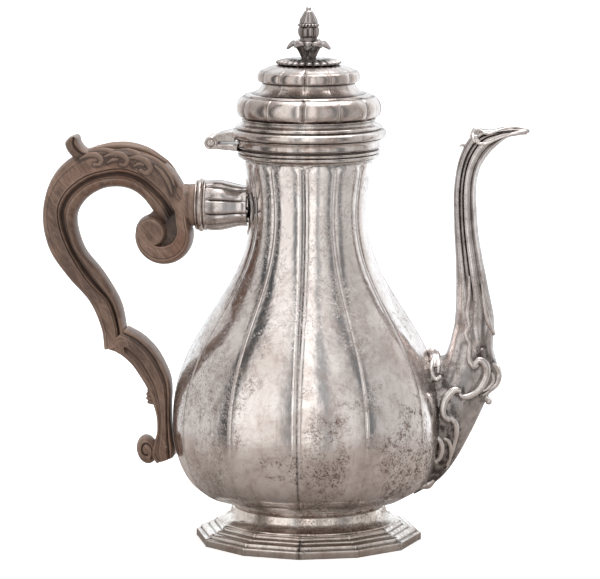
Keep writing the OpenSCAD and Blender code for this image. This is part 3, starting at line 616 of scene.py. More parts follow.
def leaf(shape, path, width, turn):
    """A drooping leaf with a raised midrib. path is its middle line as (reach, height)."""
    across = np.linspace(-1, 1, 9)[None, :]
    run = np.gradient(path, axis=0)
    run /= np.linalg.norm(run, axis=1, keepdims=True)
    normal = np.stack([-run[:, 1], run[:, 0]], -1)
    share = np.linspace(0, 1, len(path))[:, None]
    midrib = 0.5 * np.exp(-((across / 0.16) ** 2))
    curl = -0.5 * across**2 * width[:, None] * share + midrib * (1 - share * 0.5)
    scallop = 1 + 0.12 * np.sin(share * 22) * np.abs(across)
    sheets = []
    for lift in (0.0, -0.75):
        rise = curl + lift
        reach = path[:, :1] + normal[:, :1] * rise
        height = path[:, 1:] + normal[:, 1:] * rise
        side = across * width[:, None] * scallop
        x = reach * math.cos(turn) - side * math.sin(turn)
        y = reach * math.sin(turn) + side * math.cos(turn)
        sheets.append(np.stack([x, y, np.broadcast_to(height, x.shape)], -1))
    ring = np.concatenate([sheets[0], sheets[1][:, ::-1]], axis=1)
    # Painted shade on the underside of the leaf, and grime with painted shade in the grooves beside the
    # midrib
    under = np.concatenate([np.full_like(across, 0.25), np.full_like(across, 0.9)], axis=1)
    vein = np.concatenate([0.5 * bump(np.abs(across), 0.3, 0.12), np.zeros_like(across)], axis=1)
    shape.grid(ring, grime=np.broadcast_to(under + vein, ring.shape[:2]), ends=True)


HINGE_X = -50.2
HINGE_Z = 209.5
BARREL_R = 3.35
KNUCKLE = (high("hinge_body_leaf", Y) - low("hinge_body_leaf", Y)) / 5


def bevelled(shape, outline, side, bevel=0.4, grime=0.3):
    """A plate with its outline in the XZ plane and bevelled edges, from -side to side across the pot."""
    outline = np.array(outline, float)
    middle = (outline.max(0) + outline.min(0)) / 2
    small = middle + (outline - middle) * (1 - bevel / (outline.max(0) - outline.min(0)) * 2)
    rows = [(small, -side), (outline, bevel - side), (outline, side - bevel), (small, side)]
    shape.grid(np.stack([np.stack([o[:, 0], np.full(len(o), y), o[:, 1]], -1) for o, y in rows]),
        grime=grime, ends=True)


def knuckle(shape, k, end=False):
    """One knuckle of the hinge, with a worn rivet head set in its end where end is set."""
    a = full_turn(40)
    half = KNUCKLE / 2 - 0.15
    edge = [(BARREL_R - 0.3, -half), (BARREL_R, 0.3 - half), (BARREL_R, 0), (BARREL_R, half - 0.3),
        (BARREL_R - 0.3, half)]
    if end:
        edge = [(0.2, -half - 0.1), (1.5, -half - 0.05), (1.9, 0.2 - half), (2.0, 0.7 - half),
            (2.15, 0.2 - half)] + edge
    edge = np.array(edge)
    side = -1 if k > 0 else 1
    ring = np.stack([HINGE_X + edge[:, :1] * np.cos(a), k * KNUCKLE + side * edge[:, 1:] + 0 * a,
        HINGE_Z + edge[:, :1] * np.sin(a)], -1)
    shape.grid(ring, grime=0.1 + 0.8 * bump(edge[:, :1], 2.02, 0.12) * (edge[:, 1:] < 0), ends=True)


def make_hinge():
    pot, lid = Shape(), Shape()
    for k in (-2, 0, 2):
        knuckle(pot, k, k != 0)
    for k in (-1, 1):
        knuckle(lid, k)
    half = 2.5 * KNUCKLE
    bevelled(pot, steps([(HINGE_X + 1.6, HINGE_Z - 3.1), (-36.2, HINGE_Z - 4.1), (-36.2, HINGE_Z - 0.7),
        (HINGE_X + 3.6, HINGE_Z - 0.7), (HINGE_X + 2.4, HINGE_Z - 1.6)], 3), half)
    bevelled(lid, steps([(HINGE_X + 3.4, HINGE_Z + 0.7), (-37.6, HINGE_Z + 0.9), (-37.6, HINGE_Z + 6.4),
        (-39.5, HINGE_Z + 6.2), (HINGE_X + 3.6, HINGE_Z + 4.4), (HINGE_X + 1.2, HINGE_Z + 3.1)], 3), half)
    pot.build("hinge_pot_strap", "pot", TRIM_SILVER, "silver", ["hinge_body_leaf"], sharp=30)
    lid.build("hinge_lid_strap", "lid", TRIM_SILVER, "silver", ["hinge_lid_leaf"], sharp=30)


# Ornament -------------------------------------------------------------------
def tube(shape, path, radius, flat=0.8, sides=12, grime=0.1):
    """A swept round bar that gets thinner towards its ends, flattened against the surface that it lies on."""
    path = np.array(path, float)
    radius = np.interp(np.linspace(0, 1, len(path)), np.linspace(0, 1, len(radius)), radius)[:, None, None]
    run = np.gradient(path, axis=0)
    run /= np.linalg.norm(run, axis=1, keepdims=True)
    out = np.array([0.0, -1.0, 0.0])
    side = np.cross(run, out)
    side /= np.linalg.norm(side, axis=1, keepdims=True) + 1e-9
    up = np.cross(side, run)
    a = np.linspace(0, 2 * math.pi, sides, endpoint=False)[None, :, None]
    ring = path[:, None, :] + radius * (np.cos(a) * side[:, None, :] + flat * np.sin(a) * up[:, None, :])
    shape.grid(ring, grime=grime, ends=True)


def shade_and_grime_beside(shape, paths, reach, depth=0.9):
    """Darkens a shape with grime and painted shade beside the ornament that lies on it, on both sides of the
    pot.
    """
    points = np.vstack(shape.points) * (1, -1, 1)
    points[:, 1] = np.abs(points[:, 1])
    line = np.vstack(paths) * (1, -1, 1)
    near = np.full(len(points), 99.0)
    for spot in line:
        near = np.minimum(near, np.linalg.norm(points - spot, axis=1))
    grime = np.concatenate(shape.grime)
    shape.points = [np.vstack(shape.points)]
    shape.grime = [np.maximum(grime, depth * (1 - ease(near, reach * 0.6, reach)))]


def ball(shape, centre, radius, flat=0.8):
    a = full_turn(18)
    b = np.linspace(-1.5, 1.5, 11)[:, None]
    points = np.stack([centre[0] + radius * np.cos(b) * np.cos(a),
        centre[1] - flat * radius * np.sin(b) + 0 * a, centre[2] + radius * np.cos(b) * np.sin(a)], -1)
    shape.grid(points, grime=0.15, ends=True)


# Spout ----------------------------------------------------------------------
SPOUT_FOOT_Z = 28.0
SPOUT_TIP_X = 115.3
SPOUT_TOP_Z = RIM_Z + 5
BASE_HW, NECK_HW = 15.0, 6.25
# Inner edge (reach, rise), outer edge (reach, rise), half width
STATIONS = [
    (-0.30, 0.37, -0.36, -0.02, BASE_HW),
    (-0.10, 0.37, -0.08, 0.02, BASE_HW),
    (0.00, 0.375, 0.12, 0.075, 0.95 * BASE_HW),
    (0.05, 0.405, 0.32, 0.16, 0.85 * BASE_HW),
    (0.085, 0.435, 0.50, 0.25, 0.72 * BASE_HW),
    (0.112, 0.465, 0.635, 0.32, 0.6 * BASE_HW),
    (0.125, 0.52, 0.575, 0.40, 8.9),
    (0.127, 0.585, 0.585, 0.475, 7.6),
    (0.12, 0.64, 0.50, 0.575, 1.04 * NECK_HW),
    (0.10, 0.73, 0.40, 0.70, NECK_HW),
    (0.092, 0.80, 0.367, 0.785, 0.96 * NECK_HW),
    (0.102, 0.85, 0.364, 0.84, 0.93 * NECK_HW),
    (0.14, 0.905, 0.39, 0.88, 0.9 * NECK_HW),
    (0.22, 0.955, 0.445, 0.91, 0.88 * NECK_HW),
    (0.36, 0.995, 0.56, 0.945, 0.84 * NECK_HW),
    (0.56, 1.0, 0.72, 0.975, 0.8 * NECK_HW),
    (0.78, 1.005, 0.85, 0.983, 0.66 * NECK_HW),
    (0.93, 1.004, 0.955, 0.988, 0.45 * NECK_HW),
    (0.985, 1.0, 0.99, 0.993, 0.2 * NECK_HW),
]


# Rows of points between one station and the next
SPAN = 7
# The passage runs between these stations
PASSAGE = (8, 17)


def spout_edges():
    table = spline(STATIONS, SPAN)
    x = lambda reach: BELLY_R + (SPOUT_TIP_X - BELLY_R) * reach
    z = lambda rise: SPOUT_FOOT_Z + (SPOUT_TOP_Z - SPOUT_FOOT_Z) * rise
    inner = np.stack([x(table[:, 0]), z(table[:, 1])], -1)
    outer = np.stack([x(table[:, 2]), z(table[:, 3])], -1)
    return inner, outer, table[:, 4]


def spout_loft(shape, inner, outer, half_width, ribbed=1.0):
    t = np.linspace(0, 1, 57)
    v = 0.5 - 0.5 * np.cos(math.pi * t)[None, :]
    place = np.linspace(0, 1, len(inner))[:, None]
    ribbing = ribbed * ease(place, 0.28, 0.46) * (1 - ease(place, 0.83, 0.95))
    full = np.abs(2 * v - 1)
    hw = half_width[:, None] * (1 - full**2.3) ** (1 / 2.1)
    relief = (0.8 * bump(v, 0.14, 0.035) - 0.7 * bump(v, 0.24, 0.05) + 0.15 * bump(v, 0.42, 0.1)
        - 0.75 * bump(v, 0.56, 0.03) + 0.75 * bump(v, 0.635, 0.03) - 0.75 * bump(v, 0.71, 0.035)
        + 0.55 * bump(v, 0.82, 0.045) - 0.4 * bump(v, 0.9, 0.03))
    y = hw + relief * ribbing
    # Painted shade along the front and back edges of the neck, and grime with painted shade in the grooves
    along_neck = ease(place, 0.22, 0.4) * (1 - ease(place, 0.8, 0.9))
    edges = 0.5 * np.maximum(ease(v, 0.9, 1.0), 1 - ease(v, 0.0, 0.07)) * along_neck
    grooves = ribbing * (0.8 * bump(v, 0.24, 0.04) + bump(v, 0.56, 0.025) + bump(v, 0.71, 0.03)
        + 0.5 * bump(v, 0.9, 0.02))
    mid = outer[:, None, :] * (1 - v[..., None]) + inner[:, None, :] * v[..., None]
    near = np.stack([mid[..., 0], -np.maximum(y, 0), mid[..., 1]], -1)
    far = near[:, ::-1] * (1, -1, 1)
    ring = np.concatenate([near, far[:, 1:-1]], axis=1)
    grooves = np.maximum(grooves, edges * ribbed)
    dirt_and_shade = np.concatenate([grooves, grooves[:, ::-1][:, 1:-1]], axis=1)
    shape.grid(ring, grime=dirt_and_shade * 0.85 + 0.08, ends=True)


def cut(target, cutter_shape):
    """Takes one closed shape out of a piece."""
    mesh = bpy.data.meshes.new("cutter")
    mesh.from_pydata((np.vstack(cutter_shape.points) * MM).tolist(), [], cutter_shape.faces)
    cutter = bpy.data.objects.new("cutter", mesh)
    scene.collection.objects.link(cutter)
    step = target.modifiers.new("cut", "BOOLEAN")
    step.operation = "DIFFERENCE"
    step.solver = "EXACT"
    step.object = cutter
    made = bpy.data.meshes.new_from_object(target.evaluated_get(bpy.context.evaluated_depsgraph_get()))
    target.modifiers.remove(step)
    old = target.data
    target.data = made
    bpy.data.meshes.remove(old)
    bpy.data.objects.remove(cutter)


def make_spout():
    inner, outer, half_width = spout_edges()
    spout = Shape()
    spout_loft(spout, inner, outer, half_width)
    paths = make_spout_ornament(BVHTree.FromPolygons([Vector(p) for p in np.vstack(spout.points)],
        spout.faces))
    # Grime and painted shade beside the scrolls, painted shade where the spout stands close to the body, and
    # darker towards the bottom
    shade_and_grime_beside(spout, paths, 4.0, 0.95)
    points = spout.points[0]
    skin = np.interp(points[:, 2], OUTLINE[:, 1], OUTLINE[:, 0])
    beside = 1 - ease(np.hypot(points[:, 0], points[:, 1]) - skin, 4, 16)
    under = 0.4 * (1 - ease(points[:, 2], 92, 118))
    spout.grime = [np.maximum(spout.grime[0], np.maximum(0.95 * beside * (points[:, 2] < 108), under))]
    made = spout.build("cast_spout", "pot", CAST_SILVER, "cast_silver",
        ["spout_near_half", "spout_far_half"], sharp=50)
    passage = Shape()
    keep = slice(PASSAGE[0] * SPAN, PASSAGE[1] * SPAN)
    mid = (inner + outer)[keep] / 2
    arm = (inner - outer)[keep] / 2
    unit = arm / np.linalg.norm(arm, axis=1, keepdims=True)
    open_top = ease(mid[:, 0], 96, 100)[:, None]
    up = mid + arm - unit * 1.4 + open_top * unit * 6
    down = mid - arm + unit * 1.5
    widths = np.maximum(half_width[keep] - 1.8, 1.2)
    spout_loft(passage, up, down, widths, 0.0)
    cut(made, passage)


def lay(tree, points, lift):
    """Points of the spout's side view, put on its near surface."""
    out = []
    for x, z in spline(points, 6):
        hit = tree.ray_cast(Vector((x, -60, z)), Vector((0, 1, 0)))[0]
        out.append((x, (hit.y if hit else -1.5) - lift, z))
    out = np.array(out)
    for _ in range(4):
        out[1:-1, 1] = (out[:-2, 1] + 2 * out[1:-1, 1] + out[2:, 1]) / 4
    return out


def make_spout_ornament(tree):
    work, paths = Shape(), []

    def scroll(points, radius, lift=0.3, flat=0.9, end=0.0, start=0.0, grime=0.05):
        path = lay(tree, points, lift)
        if max(radius) > 1.05 and points[0][1] < 105:
            paths.append(path)
        tube(work, path, [1.3 * r for r in radius], flat, grime=grime)
        if end:
            ball(work, path[-1], end)
        if start:
            ball(work, path[0], start)

    # Wavy rib that runs down the side of the neck into the first scroll
    scroll([(84.2, 141), (84.4, 130), (83.6, 121), (84.5, 115), (82.9, 110), (84.8, 105.5),
        (84.6, 100.5), (84.8, 97), (86.6, 94.2), (88.6, 94.6)], [0.5, 0.8, 0.95, 1.0, 1.1, 1.3, 1.2],
        0.2, end=1.3)
    # First scroll, open to the left
    scroll([(87.2, 94.4), (89.2, 97.3), (92.0, 96.2), (93.6, 92.5), (93.0, 87.5), (90.2, 82.4),
        (86.0, 79.2), (81.8, 78.4), (79.6, 80.2)], [1.0, 1.5, 1.7, 1.6, 1.4, 1.2, 0.8], 0.5, start=1.4)
    # Second scroll, with its knob
    scroll([(80.6, 81.6), (77.5, 82.2), (74.4, 80.0), (72.2, 76.4), (71.2, 71.8), (72.0, 68.4),
        (73.9, 67.0)], [1.0, 1.5, 1.7, 1.6, 1.4, 1.4], 0.9, end=1.9)
    # Spine below it, down to the foot of the spout
    scroll([(75.2, 67.8), (77.6, 64.4), (78.2, 59.5), (77.2, 53.8), (75.4, 47.4), (73.0, 41.5)],
        [1.1, 1.3, 1.2, 1.0, 0.8, 0.5], 0.1)
    # Small scroll beside the body, and the bow beside it
    scroll([(66.2, 58.2), (68.6, 57.0), (70.4, 54.2), (70.8, 50.4), (69.6, 46.4), (67.6, 44.4)],
        [0.7, 1.1, 1.2, 1.1, 1.0], 0.9, end=1.5)
    scroll([(71.8, 56.8), (74.2, 55.0), (75.2, 50.5), (74.6, 44.5), (72.6, 38.6)],
        [0.6, 0.9, 0.9, 0.7, 0.4], 0.5)
    # Leaf tufts against the belly
    scroll([(62.6, 100.8), (64.8, 99.8), (66.0, 96.8), (66.4, 93.2)], [0.7, 1.8, 1.9, 0.8], 0.6, 0.6)
    scroll([(66.8, 99.4), (65.2, 95.0), (65.0, 90.6), (67.2, 87.4), (69.6, 88.4)],
        [0.7, 1.1, 1.3, 1.1, 0.8], 1.0, end=1.2)
    scroll([(67.6, 100), (68.6, 94.5), (68.6, 90.4)], [0.5, 1.0, 0.6], 0.9)
    scroll([(64.4, 63.5), (66.6, 59.6), (69.4, 57.2)], [0.4, 0.8, 0.6], 0.8)
    # Right-hand flap, shell and knob
    scroll([(90.8, 137), (92.2, 126.5), (94.4, 116.4), (97.3, 109.6)], [0.4, 0.9, 1.2, 0.5], 0.3, 0.7)
    scroll([(91.2, 102.6), (91.8, 99.8), (94.0, 96.6), (95.4, 93.4)], [1.1, 0.8, 0.7, 0.5], 0.1, 0.7,
        start=1.1, grime=0.7)
    scroll([(96.4, 95.2), (98.6, 92.2), (99.4, 88.0), (98.0, 83.6), (94.4, 80.0), (91.4, 78.2)],
        [0.5, 1.3, 1.6, 1.5, 1.0, 0.5], 0.0, 0.9)
    scroll([(96.2, 90.4), (96.8, 86.2), (94.8, 82.6), (91.6, 80.6)], [0.4, 0.9, 0.9, 0.4], 0.2, 0.7)
    scroll([(92.6, 77.6), (93.8, 75.2), (94.6, 74.2)], [0.6, 1.1, 1.3], 0.0, end=1.7)
    # Cartouche along the beak, with its corner scroll
    scroll([(87.2, 213.2), (88.6, 210.2), (93.0, 210.2), (99.0, 212.8), (105.6, 215.0), (112.6, 215.8)],
        [0.9, 0.8, 0.6, 0.55, 0.6, 1.0], 0.25, 0.8, start=1.3, end=1.25)
    scroll([(88.6, 216.4), (93.4, 215.2), (100.0, 217.0), (107.0, 218.2), (113.4, 217.2)],
        [0.9, 0.6, 0.55, 0.5, 0.4], 0.2, 0.8, start=1.1)
    scroll([(86.4, 217.2), (85.4, 213.6), (86.8, 210.6)], [0.8, 1.2, 0.8], 0.3)
    # Thorn on the inner side of the neck, and the leaf end under the body
    tube(work, [(82.8, -0.5, 208.8), (81.2, -0.4, 208.6), (79.4, -0.2, 208.4), (78.2, 0, 207.8)],
        [0.9, 0.9, 0.6, 0.15])
    scroll([(66.5, 33.0), (63.2, 30.6), (59.6, 29.4)], [1.0, 1.9, 1.0], 0.2, 0.6, end=1.5)
    work.mirrored()
    work.build("spout_scrolls", "pot", SCROLL_SILVER, "cast_silver", sharp=60)
    berry = Shape()
    ball(berry, (63.1, -22.5, 78.6), 2.3, 0.9)
    berry.mirrored()
    berry.build("spout_berries", "pot", SCROLL_SILVER, "cast_silver", sharp=60)
    return paths


# Upper socket ---------------------------------------------------------------
def along(x, radius, angle):
    """Points round the handle's upper fixing, whose axis is level."""
    x, radius, angle = np.broadcast_arrays(x, radius, angle)
    return np.stack([x, -radius * np.cos(angle), SOCKET_Z + radius * np.sin(angle)], -1)


def neck_radius(z):
    return np.interp(z, OUTLINE[:, 1], OUTLINE[:, 0]) * 0.985


def make_socket():
    angles = full_turn(200)
    root_x = high("upper_socket", X) + 1.6
    run = bezier((0, 10.9), (5.5, 9.4), (11.5, 14.6), (abs(RING_X - root_x), 12.7), 30)
    x = root_x - run[:, :1]
    share = run[:, :1] / run[-1, 0]
    lobe = np.abs(np.cos(angles * 5))
    groove = bump(lobe, 0, 0.3)
    fade = 0.4 + 0.6 * ease(share, 0.0, 0.3) - 0.55 * ease(share, 0.86, 1.0)
    socket = Shape()
    # Grime and painted shade in the flutes
    socket.grid(along(x, run[:, 1:] + 0.25 - 1.15 * groove * fade, angles), grime=bump(lobe, 0, 0.13) * fade)
    socket.build("fluted_socket", "pot", CAST_SILVER, "cast_silver", ["upper_socket"], sharp=60)

    ring = Shape()
    r = RING_X
    profile = chain([[r + 1.0, 9.4], [r + 0.9, 12.4]], [[r + 0.2, 12.7]],
        arc((r - 0.6, 12.6), 0.75, 10, 170, 8), [[r - 1.5, 12.6]],
        arc((r - 3.0, 12.5), 1.5, 15, 165, 14), [[r - 4.6, 12.5]], arc((r - 5.2, 12.6), 0.6, 10, 170, 8),
        [[r - 5.95, 12.0], [r - 6, 9.6]])
    # Grime and painted shade between the beads
    ring.grid(along(profile[:, :1], profile[:, 1:], angles),
        grime=0.1 + 0.6 * bump(profile[:, 1:], 12.5, 0.12))
    ring.build("socket_beads", "pot", TRIM_SILVER, "cast_silver", ["socket_ring"])

    plate = Shape()
    wide, tall = 12.5, 15.6
    rho = np.concatenate([np.linspace(0.3, 0.9, 8), [0.94, 0.97, 0.99, 1.0, 1.0]])[:, None]
    thick = np.concatenate([np.full(8, 2.0), [1.9, 1.7, 1.3, 0.8, -0.6]])[:, None]
    ridge = thick + 0.8 * bump(rho, 0.88, 0.05)
    y = wide * rho * np.cos(angles)
    z = SOCKET_Z - 0.5 + tall * rho * np.sin(angles)
    x = -(np.sqrt(np.maximum(neck_radius(z) ** 2 - y**2, 1)) + ridge * 0.75)
    # Grime and painted shade round the edge of the plate, where it meets the body
    plate.grid(np.stack([x, y, z], -1), grime=0.15 + 0.6 * bump(rho, 1.0, 0.02))
    plate.build("socket_base", "pot", TRIM_SILVER, "cast_silver", ["socket_plate"])


# Handle ---------------------------------------------------------------------
WOOD_T = 9.0


def relief_sweep(shape, outer, inner, level, dirt_and_shade, thick):
    """A carved band between two edges, the same on both faces. level gives the face's height across the band,
    and the next argument its grime and painted shade, from the outer edge to the inner one, which may be a
    single point."""
    v = (0.5 - 0.5 * np.cos(np.linspace(0, math.pi, 49)))[None, :]
    place = np.linspace(0, 1, len(outer))[:, None]
    inner = np.broadcast_to(inner, outer.shape)
    mid = outer[:, None, :] * (1 - v[..., None]) + inner[:, None, :] * v[..., None]
    y = np.broadcast_to(np.maximum(level(v, place), 0), mid.shape[:2]) * np.reshape(thick, (-1, 1))
    near = np.stack([mid[..., 0], -y, mid[..., 1]], -1)
    far = near[:, ::-1] * (1, -1, 1)
    ring = np.concatenate([near, far[:, 1:-1]], axis=1)
    d = np.broadcast_to(dirt_and_shade(v, place), y.shape)
    shape.grid(ring, grime=np.concatenate([d, d[:, ::-1][:, 1:-1]], axis=1), ends=True)


def rounded(v, edge):
    """1 in the middle of the band and 0 at v = 0, along a quarter ellipse that is edge wide."""
    t = np.clip(v / edge, 0, 1)
    return np.sqrt(1 - (1 - t) ** 2.2)


def upper_scroll(wood):
    # Outer band: its outer edge, and the carved line along the scroll's middle, with grime and painted shade
    # in that line
    outer = spline([(-107.6, 99.6), (-109.2, 111), (-115.4, 125), (-126.9, 138.2), (-136.3, 152.1),
        (-139.7, 169), (-136.4, 186), (-127.5, 198.2), (-112.1, 206.2), (-96, 206.8), (-82.5, 203.4),
        (-70.5, 194.2), (-63.8, 183.5)], 8)
    line = spline([(-100.3, 101.6), (-100.9, 112), (-105.4, 125.2), (-115.6, 136.2), (-126.4, 154.2),
        (-131, 171), (-127, 182.3), (-116.8, 190.8), (-105.5, 194.4), (-95.6, 195.2), (-85.4, 191.4),
        (-75.2, 182.8), (-69.0, 173.2)], 8)
    coil_out = arc((-75.6, 160), 15.2, 50, -185, 50)[6:]
    coil_in = arc((-76.4, 163.4), 8.4, 42, -165, 36)[4:]
    at = np.linspace(0, 1, len(coil_out))
    coil_in = np.stack([np.interp(at, np.linspace(0, 1, len(coil_in)), coil_in[:, k]) for k in (0, 1)], -1)
    band = np.vstack([outer, coil_out])
    thick = WOOD_T + 1.6 * ease(np.linspace(0, 1, len(band)), 0.45, 0.62)
    relief_sweep(wood, band, np.vstack([line, coil_in]),
        lambda v, s: (rounded(v, 0.34) * (1 - 0.03 * bump(v, 0.36, 0.04)) + 0.03 * bump(v, 0.93, 0.05)
            - 0.16 * ease(v, 0.965, 1.0)),
        lambda v, s: 0.3 * bump(v, 0.37, 0.03) + 0.7 * ease(v, 0.95, 1.0) * (1 - ease(s, 0.8, 0.86)), thick)
    # Eye of the volute, and the hollow between it and the band, whose face is darkened all over by painted
    # shadow
    turn = np.radians(np.linspace(0, 360, 49))
    circle = np.stack([np.cos(turn), np.sin(turn)], -1)
    eye, eye_r = (-82.0, 162.3), 8.6
    relief_sweep(wood, eye + eye_r * circle, eye,
        lambda v, s: rounded(v, 0.3) * (1 - 0.03 * bump(v, 0.5, 0.3)),
        lambda v, s: 0.25 * bump(v, 0.12, 0.1), WOOD_T + 2.0)
    hollow, hollow_r = (-75.8, 164.2), 10.2
    relief_sweep(wood, hollow + hollow_r * circle, hollow, lambda v, s: 1, lambda v, s: 0.55,
        WOOD_T * 0.62)
    # Inner band, which runs in behind the volute, with painted shadow on its end behind the volute and grime
    # with painted shade in its carved lines
    inner = spline([(-95.4, 103.5), (-96.0, 111.5), (-98.9, 124.8), (-107.6, 140), (-117.6, 152.8),
        (-121.6, 168), (-117.6, 177.6), (-109.1, 183.6), (-100.4, 185.2), (-92.5, 183.6), (-86.2, 179),
        (-80.6, 171.4), (-76.6, 165.0)], 8)
    relief_sweep(wood, line, inner,
        lambda v, s: (0.93 + 0.04 * bump(v, 0.07, 0.05) - 0.24 * bump(v, 0.27, 0.12)
            - 0.05 * bump(v, 0.44, 0.03) - 0.95 * (1 - rounded(1 - v, 0.5))),
        lambda v, s: (0.9 * bump(v, 0.24, 0.1) + 0.6 * bump(v, 0.0, 0.03) + 0.35 * bump(v, 0.45, 0.03)
            + 0.8 * ease(s, 0.93, 1.0)), WOOD_T)


def lower_scroll(wood):
    outer = spline([(-107.2, 99.8), (-100.1, 97.2), (-93.4, 91.6), (-88.9, 85.3), (-85.2, 79.2),
        (-82.6, 72.5), (-80.2, 64.5), (-79.9, 56), (-81.6, 50), (-83.2, 44), (-80.4, 39.4)], 8)
    inner = spline([(-95.2, 111.4), (-87.4, 107), (-80.4, 100.2), (-75.6, 92.2), (-72.6, 84.4),
        (-72.0, 77.5), (-72.4, 70), (-72.3, 60), (-71.5, 53), (-70.6, 47), (-70.8, 43.0)], 8)
    relief_sweep(wood, outer, inner,
        lambda v, s: (rounded(v, 0.2) * rounded(1 - v, 0.12) * (0.9 - 0.1 * bump(v, 0.24, 0.1)
            + 0.1 * ease(v, 0.36, 0.42) - 0.09 * ease(v, 0.68, 0.74) - 0.07 * bump(v, 0.8, 0.04))),
        lambda v, s: ((0.75 * bump(v, 0.37, 0.035) + 0.6 * bump(v, 0.73, 0.03)
            + 0.5 * bump(v, 0.82, 0.03)) * (1 - 0.6 * ease(s, 0.6, 0.8))),
        WOOD_T * np.interp(np.linspace(0, 1, len(outer)), [0, 0.5, 0.8, 1], [1, 0.97, 1.03, 1.03]))
    # Rounded start of the raised band
    relief_sweep(wood, arc((-97.4, 101.6), 4.6, 20, 290, 22), (-96.6, 101.2),
        lambda v, s: rounded(v, 0.22) * 1.02, lambda v, s: 0.6 * bump(v, 0.0, 0.1), WOOD_T + 0.2)
    # Knob at the end, a rolled scroll
    turn = np.radians(np.linspace(-60, 300, 44))
    rim = np.stack([-85.4 + 5.4 * np.cos(turn) - 0.8 * np.sin(turn), 46.2 + 7.6 * np.sin(turn)], -1)
    relief_sweep(wood, rim, (-84.6, 46.4),
        lambda v, s: rounded(v, 0.55) * (1 - 0.12 * bump(v, 0.3 + 0.45 * s, 0.09)),
        lambda v, s: 0.7 * bump(v, 0.3 + 0.45 * s, 0.09), WOOD_T * 0.95)


def make_handle():
    wood = Shape()
    upper_scroll(wood)
    lower_scroll(wood)
    thumb_out = spline([(-122.5, 199.6), (-126.1, 203.6), (-127.6, 208), (-125.4, 211.0),
        (-123.2, 211.9)], 6)
    thumb_in = spline([(-111.5, 203), (-116.6, 205.4), (-119.2, 208.4), (-120.2, 211.2),
        (-121.8, 211.9)], 6)
    relief_sweep(wood, thumb_out, thumb_in,
        lambda v, s: rounded(v, 0.35) * rounded(1 - v, 0.25) * (1 - 0.12 * bump(v, 0.62, 0.08)),
        lambda v, s: 0.5 * bump(v, 0.62, 0.08), WOOD_T * 0.92)
    # Shoulder that seats against the socket
    angles = full_turn(72)
    seat = chain([[WOOD_X - 9.5, 8.5], [WOOD_X - 8.5, 10.4]],
        bezier((WOOD_X - 8, 10.8), (WOOD_X - 6, 11.4), (WOOD_X - 4, 10.9), (WOOD_X - 3.2, 10.7), 6),
        [[WOOD_X - 2.8, 11.0], [WOOD_X - 0.3, 11.0], [WOOD_X - 0.1, 10.6], [WOOD_X - 0.1, 3]])
    wood.grid(along(seat[:, :1], seat[:, 1:], angles), grime=0.25 * bump(seat[:, :1], WOOD_X - 3, 0.5))
    carving(wood)
    wood.build("carved_handle", "pot", WOOD, "wood", ["handle"], sharp=50)


def carving(wood):
    """Acanthus leaves along the top of the handle, and the small ribbed tuft on its outer side."""
    leafwork, paths = Shape(), []
    tree = BVHTree.FromPolygons([Vector(p) for p in np.vstack(wood.points)], wood.faces)

    def blade(points, radius, lift=-0.1, flat=0.55, end=0.0):
        path = lay(tree, points, lift)
        paths.append(path)
        tube(leafwork, path, radius, flat, sides=10, grime=0.18)
        if end:
            ball(leafwork, path[-1], end, 0.6)

    # Five curling leaves, each with its own hooked end
    blade([(-119, 200.4), (-114.5, 202.4), (-110.4, 202.6), (-107.6, 200.4), (-108.6, 197.8),
        (-111.0, 197.6)], [0.5, 1.2, 1.4, 1.3, 1.0, 0.7], end=1.0)
    blade([(-113.5, 204.4), (-107.5, 205.2), (-102.4, 204.4), (-99.6, 201.8)], [0.5, 1.2, 1.4, 0.4])
    blade([(-106.0, 201.8), (-101.2, 203.4), (-96.6, 202.8), (-93.8, 200.2), (-95.2, 197.6),
        (-97.4, 197.8)], [0.4, 1.2, 1.5, 1.3, 1.0, 0.7], end=1.0)
    blade([(-99.6, 205.2), (-93.5, 205.0), (-88.4, 203.2), (-85.6, 200.4)], [0.4, 1.2, 1.4, 0.4])
    blade([(-93.0, 201.2), (-88.6, 201.6), (-84.0, 199.6), (-81.6, 195.8), (-84.0, 193.4),
        (-86.6, 194.6)], [0.4, 1.3, 1.7, 1.5, 1.2, 0.8], end=1.2)
    blade([(-86.4, 202.8), (-80.6, 200.6), (-75.4, 196.8), (-71.4, 192.0), (-69.2, 187.2)],
        [0.4, 1.4, 1.6, 1.2, 0.3])
    blade([(-79.6, 197.6), (-75.4, 193.4), (-72.2, 188.4), (-70.4, 182.6)], [0.3, 1.1, 1.1, 0.3])
    blade([(-90.6, 197.0), (-87.4, 198.4), (-85.0, 197.6)], [0.3, 0.9, 0.5])
    blade([(-104.6, 198.6), (-101.6, 200.2), (-98.8, 200.4)], [0.3, 0.9, 0.5])
    # Grime and painted shade on the handle beside the leaves
    shade_and_grime_beside(wood, paths, 2.3, 0.75)
    leafwork.mirrored()
    wood.faces += [[i + wood.count for i in face_] for face_ in leafwork.faces]
    wood.points += leafwork.points
    wood.grime += leafwork.grime
    wood.count += leafwork.count
    for side in (-6.0, -2.0, 2.0, 6.0):
        path = spline([(-112, side, 205.6), (-103, side * 1.05, 207.0), (-94, side, 207),
            (-84, side * 0.8, 204.4), (-74, side * 0.6, 198.4)], 5)
        tube(wood, path, [0.5, 1.0, 1.1, 0.9, 0.4], 0.8, grime=0.15)
    for z, reach in ((78.2, 83.9), (76.2, 84.5), (74.1, 84.5), (72.0, 83.9)):
        tube(wood, [(-reach + 2.5, -4.5, z - 0.6), (-reach, -3.8, z), (-reach - 0.3, 0, z),
            (-reach, 3.8, z), (-reach + 2.5, 4.5, z - 0.6)], [0.9, 1.15, 1.2, 1.15, 0.9], 0.9, grime=0.2)


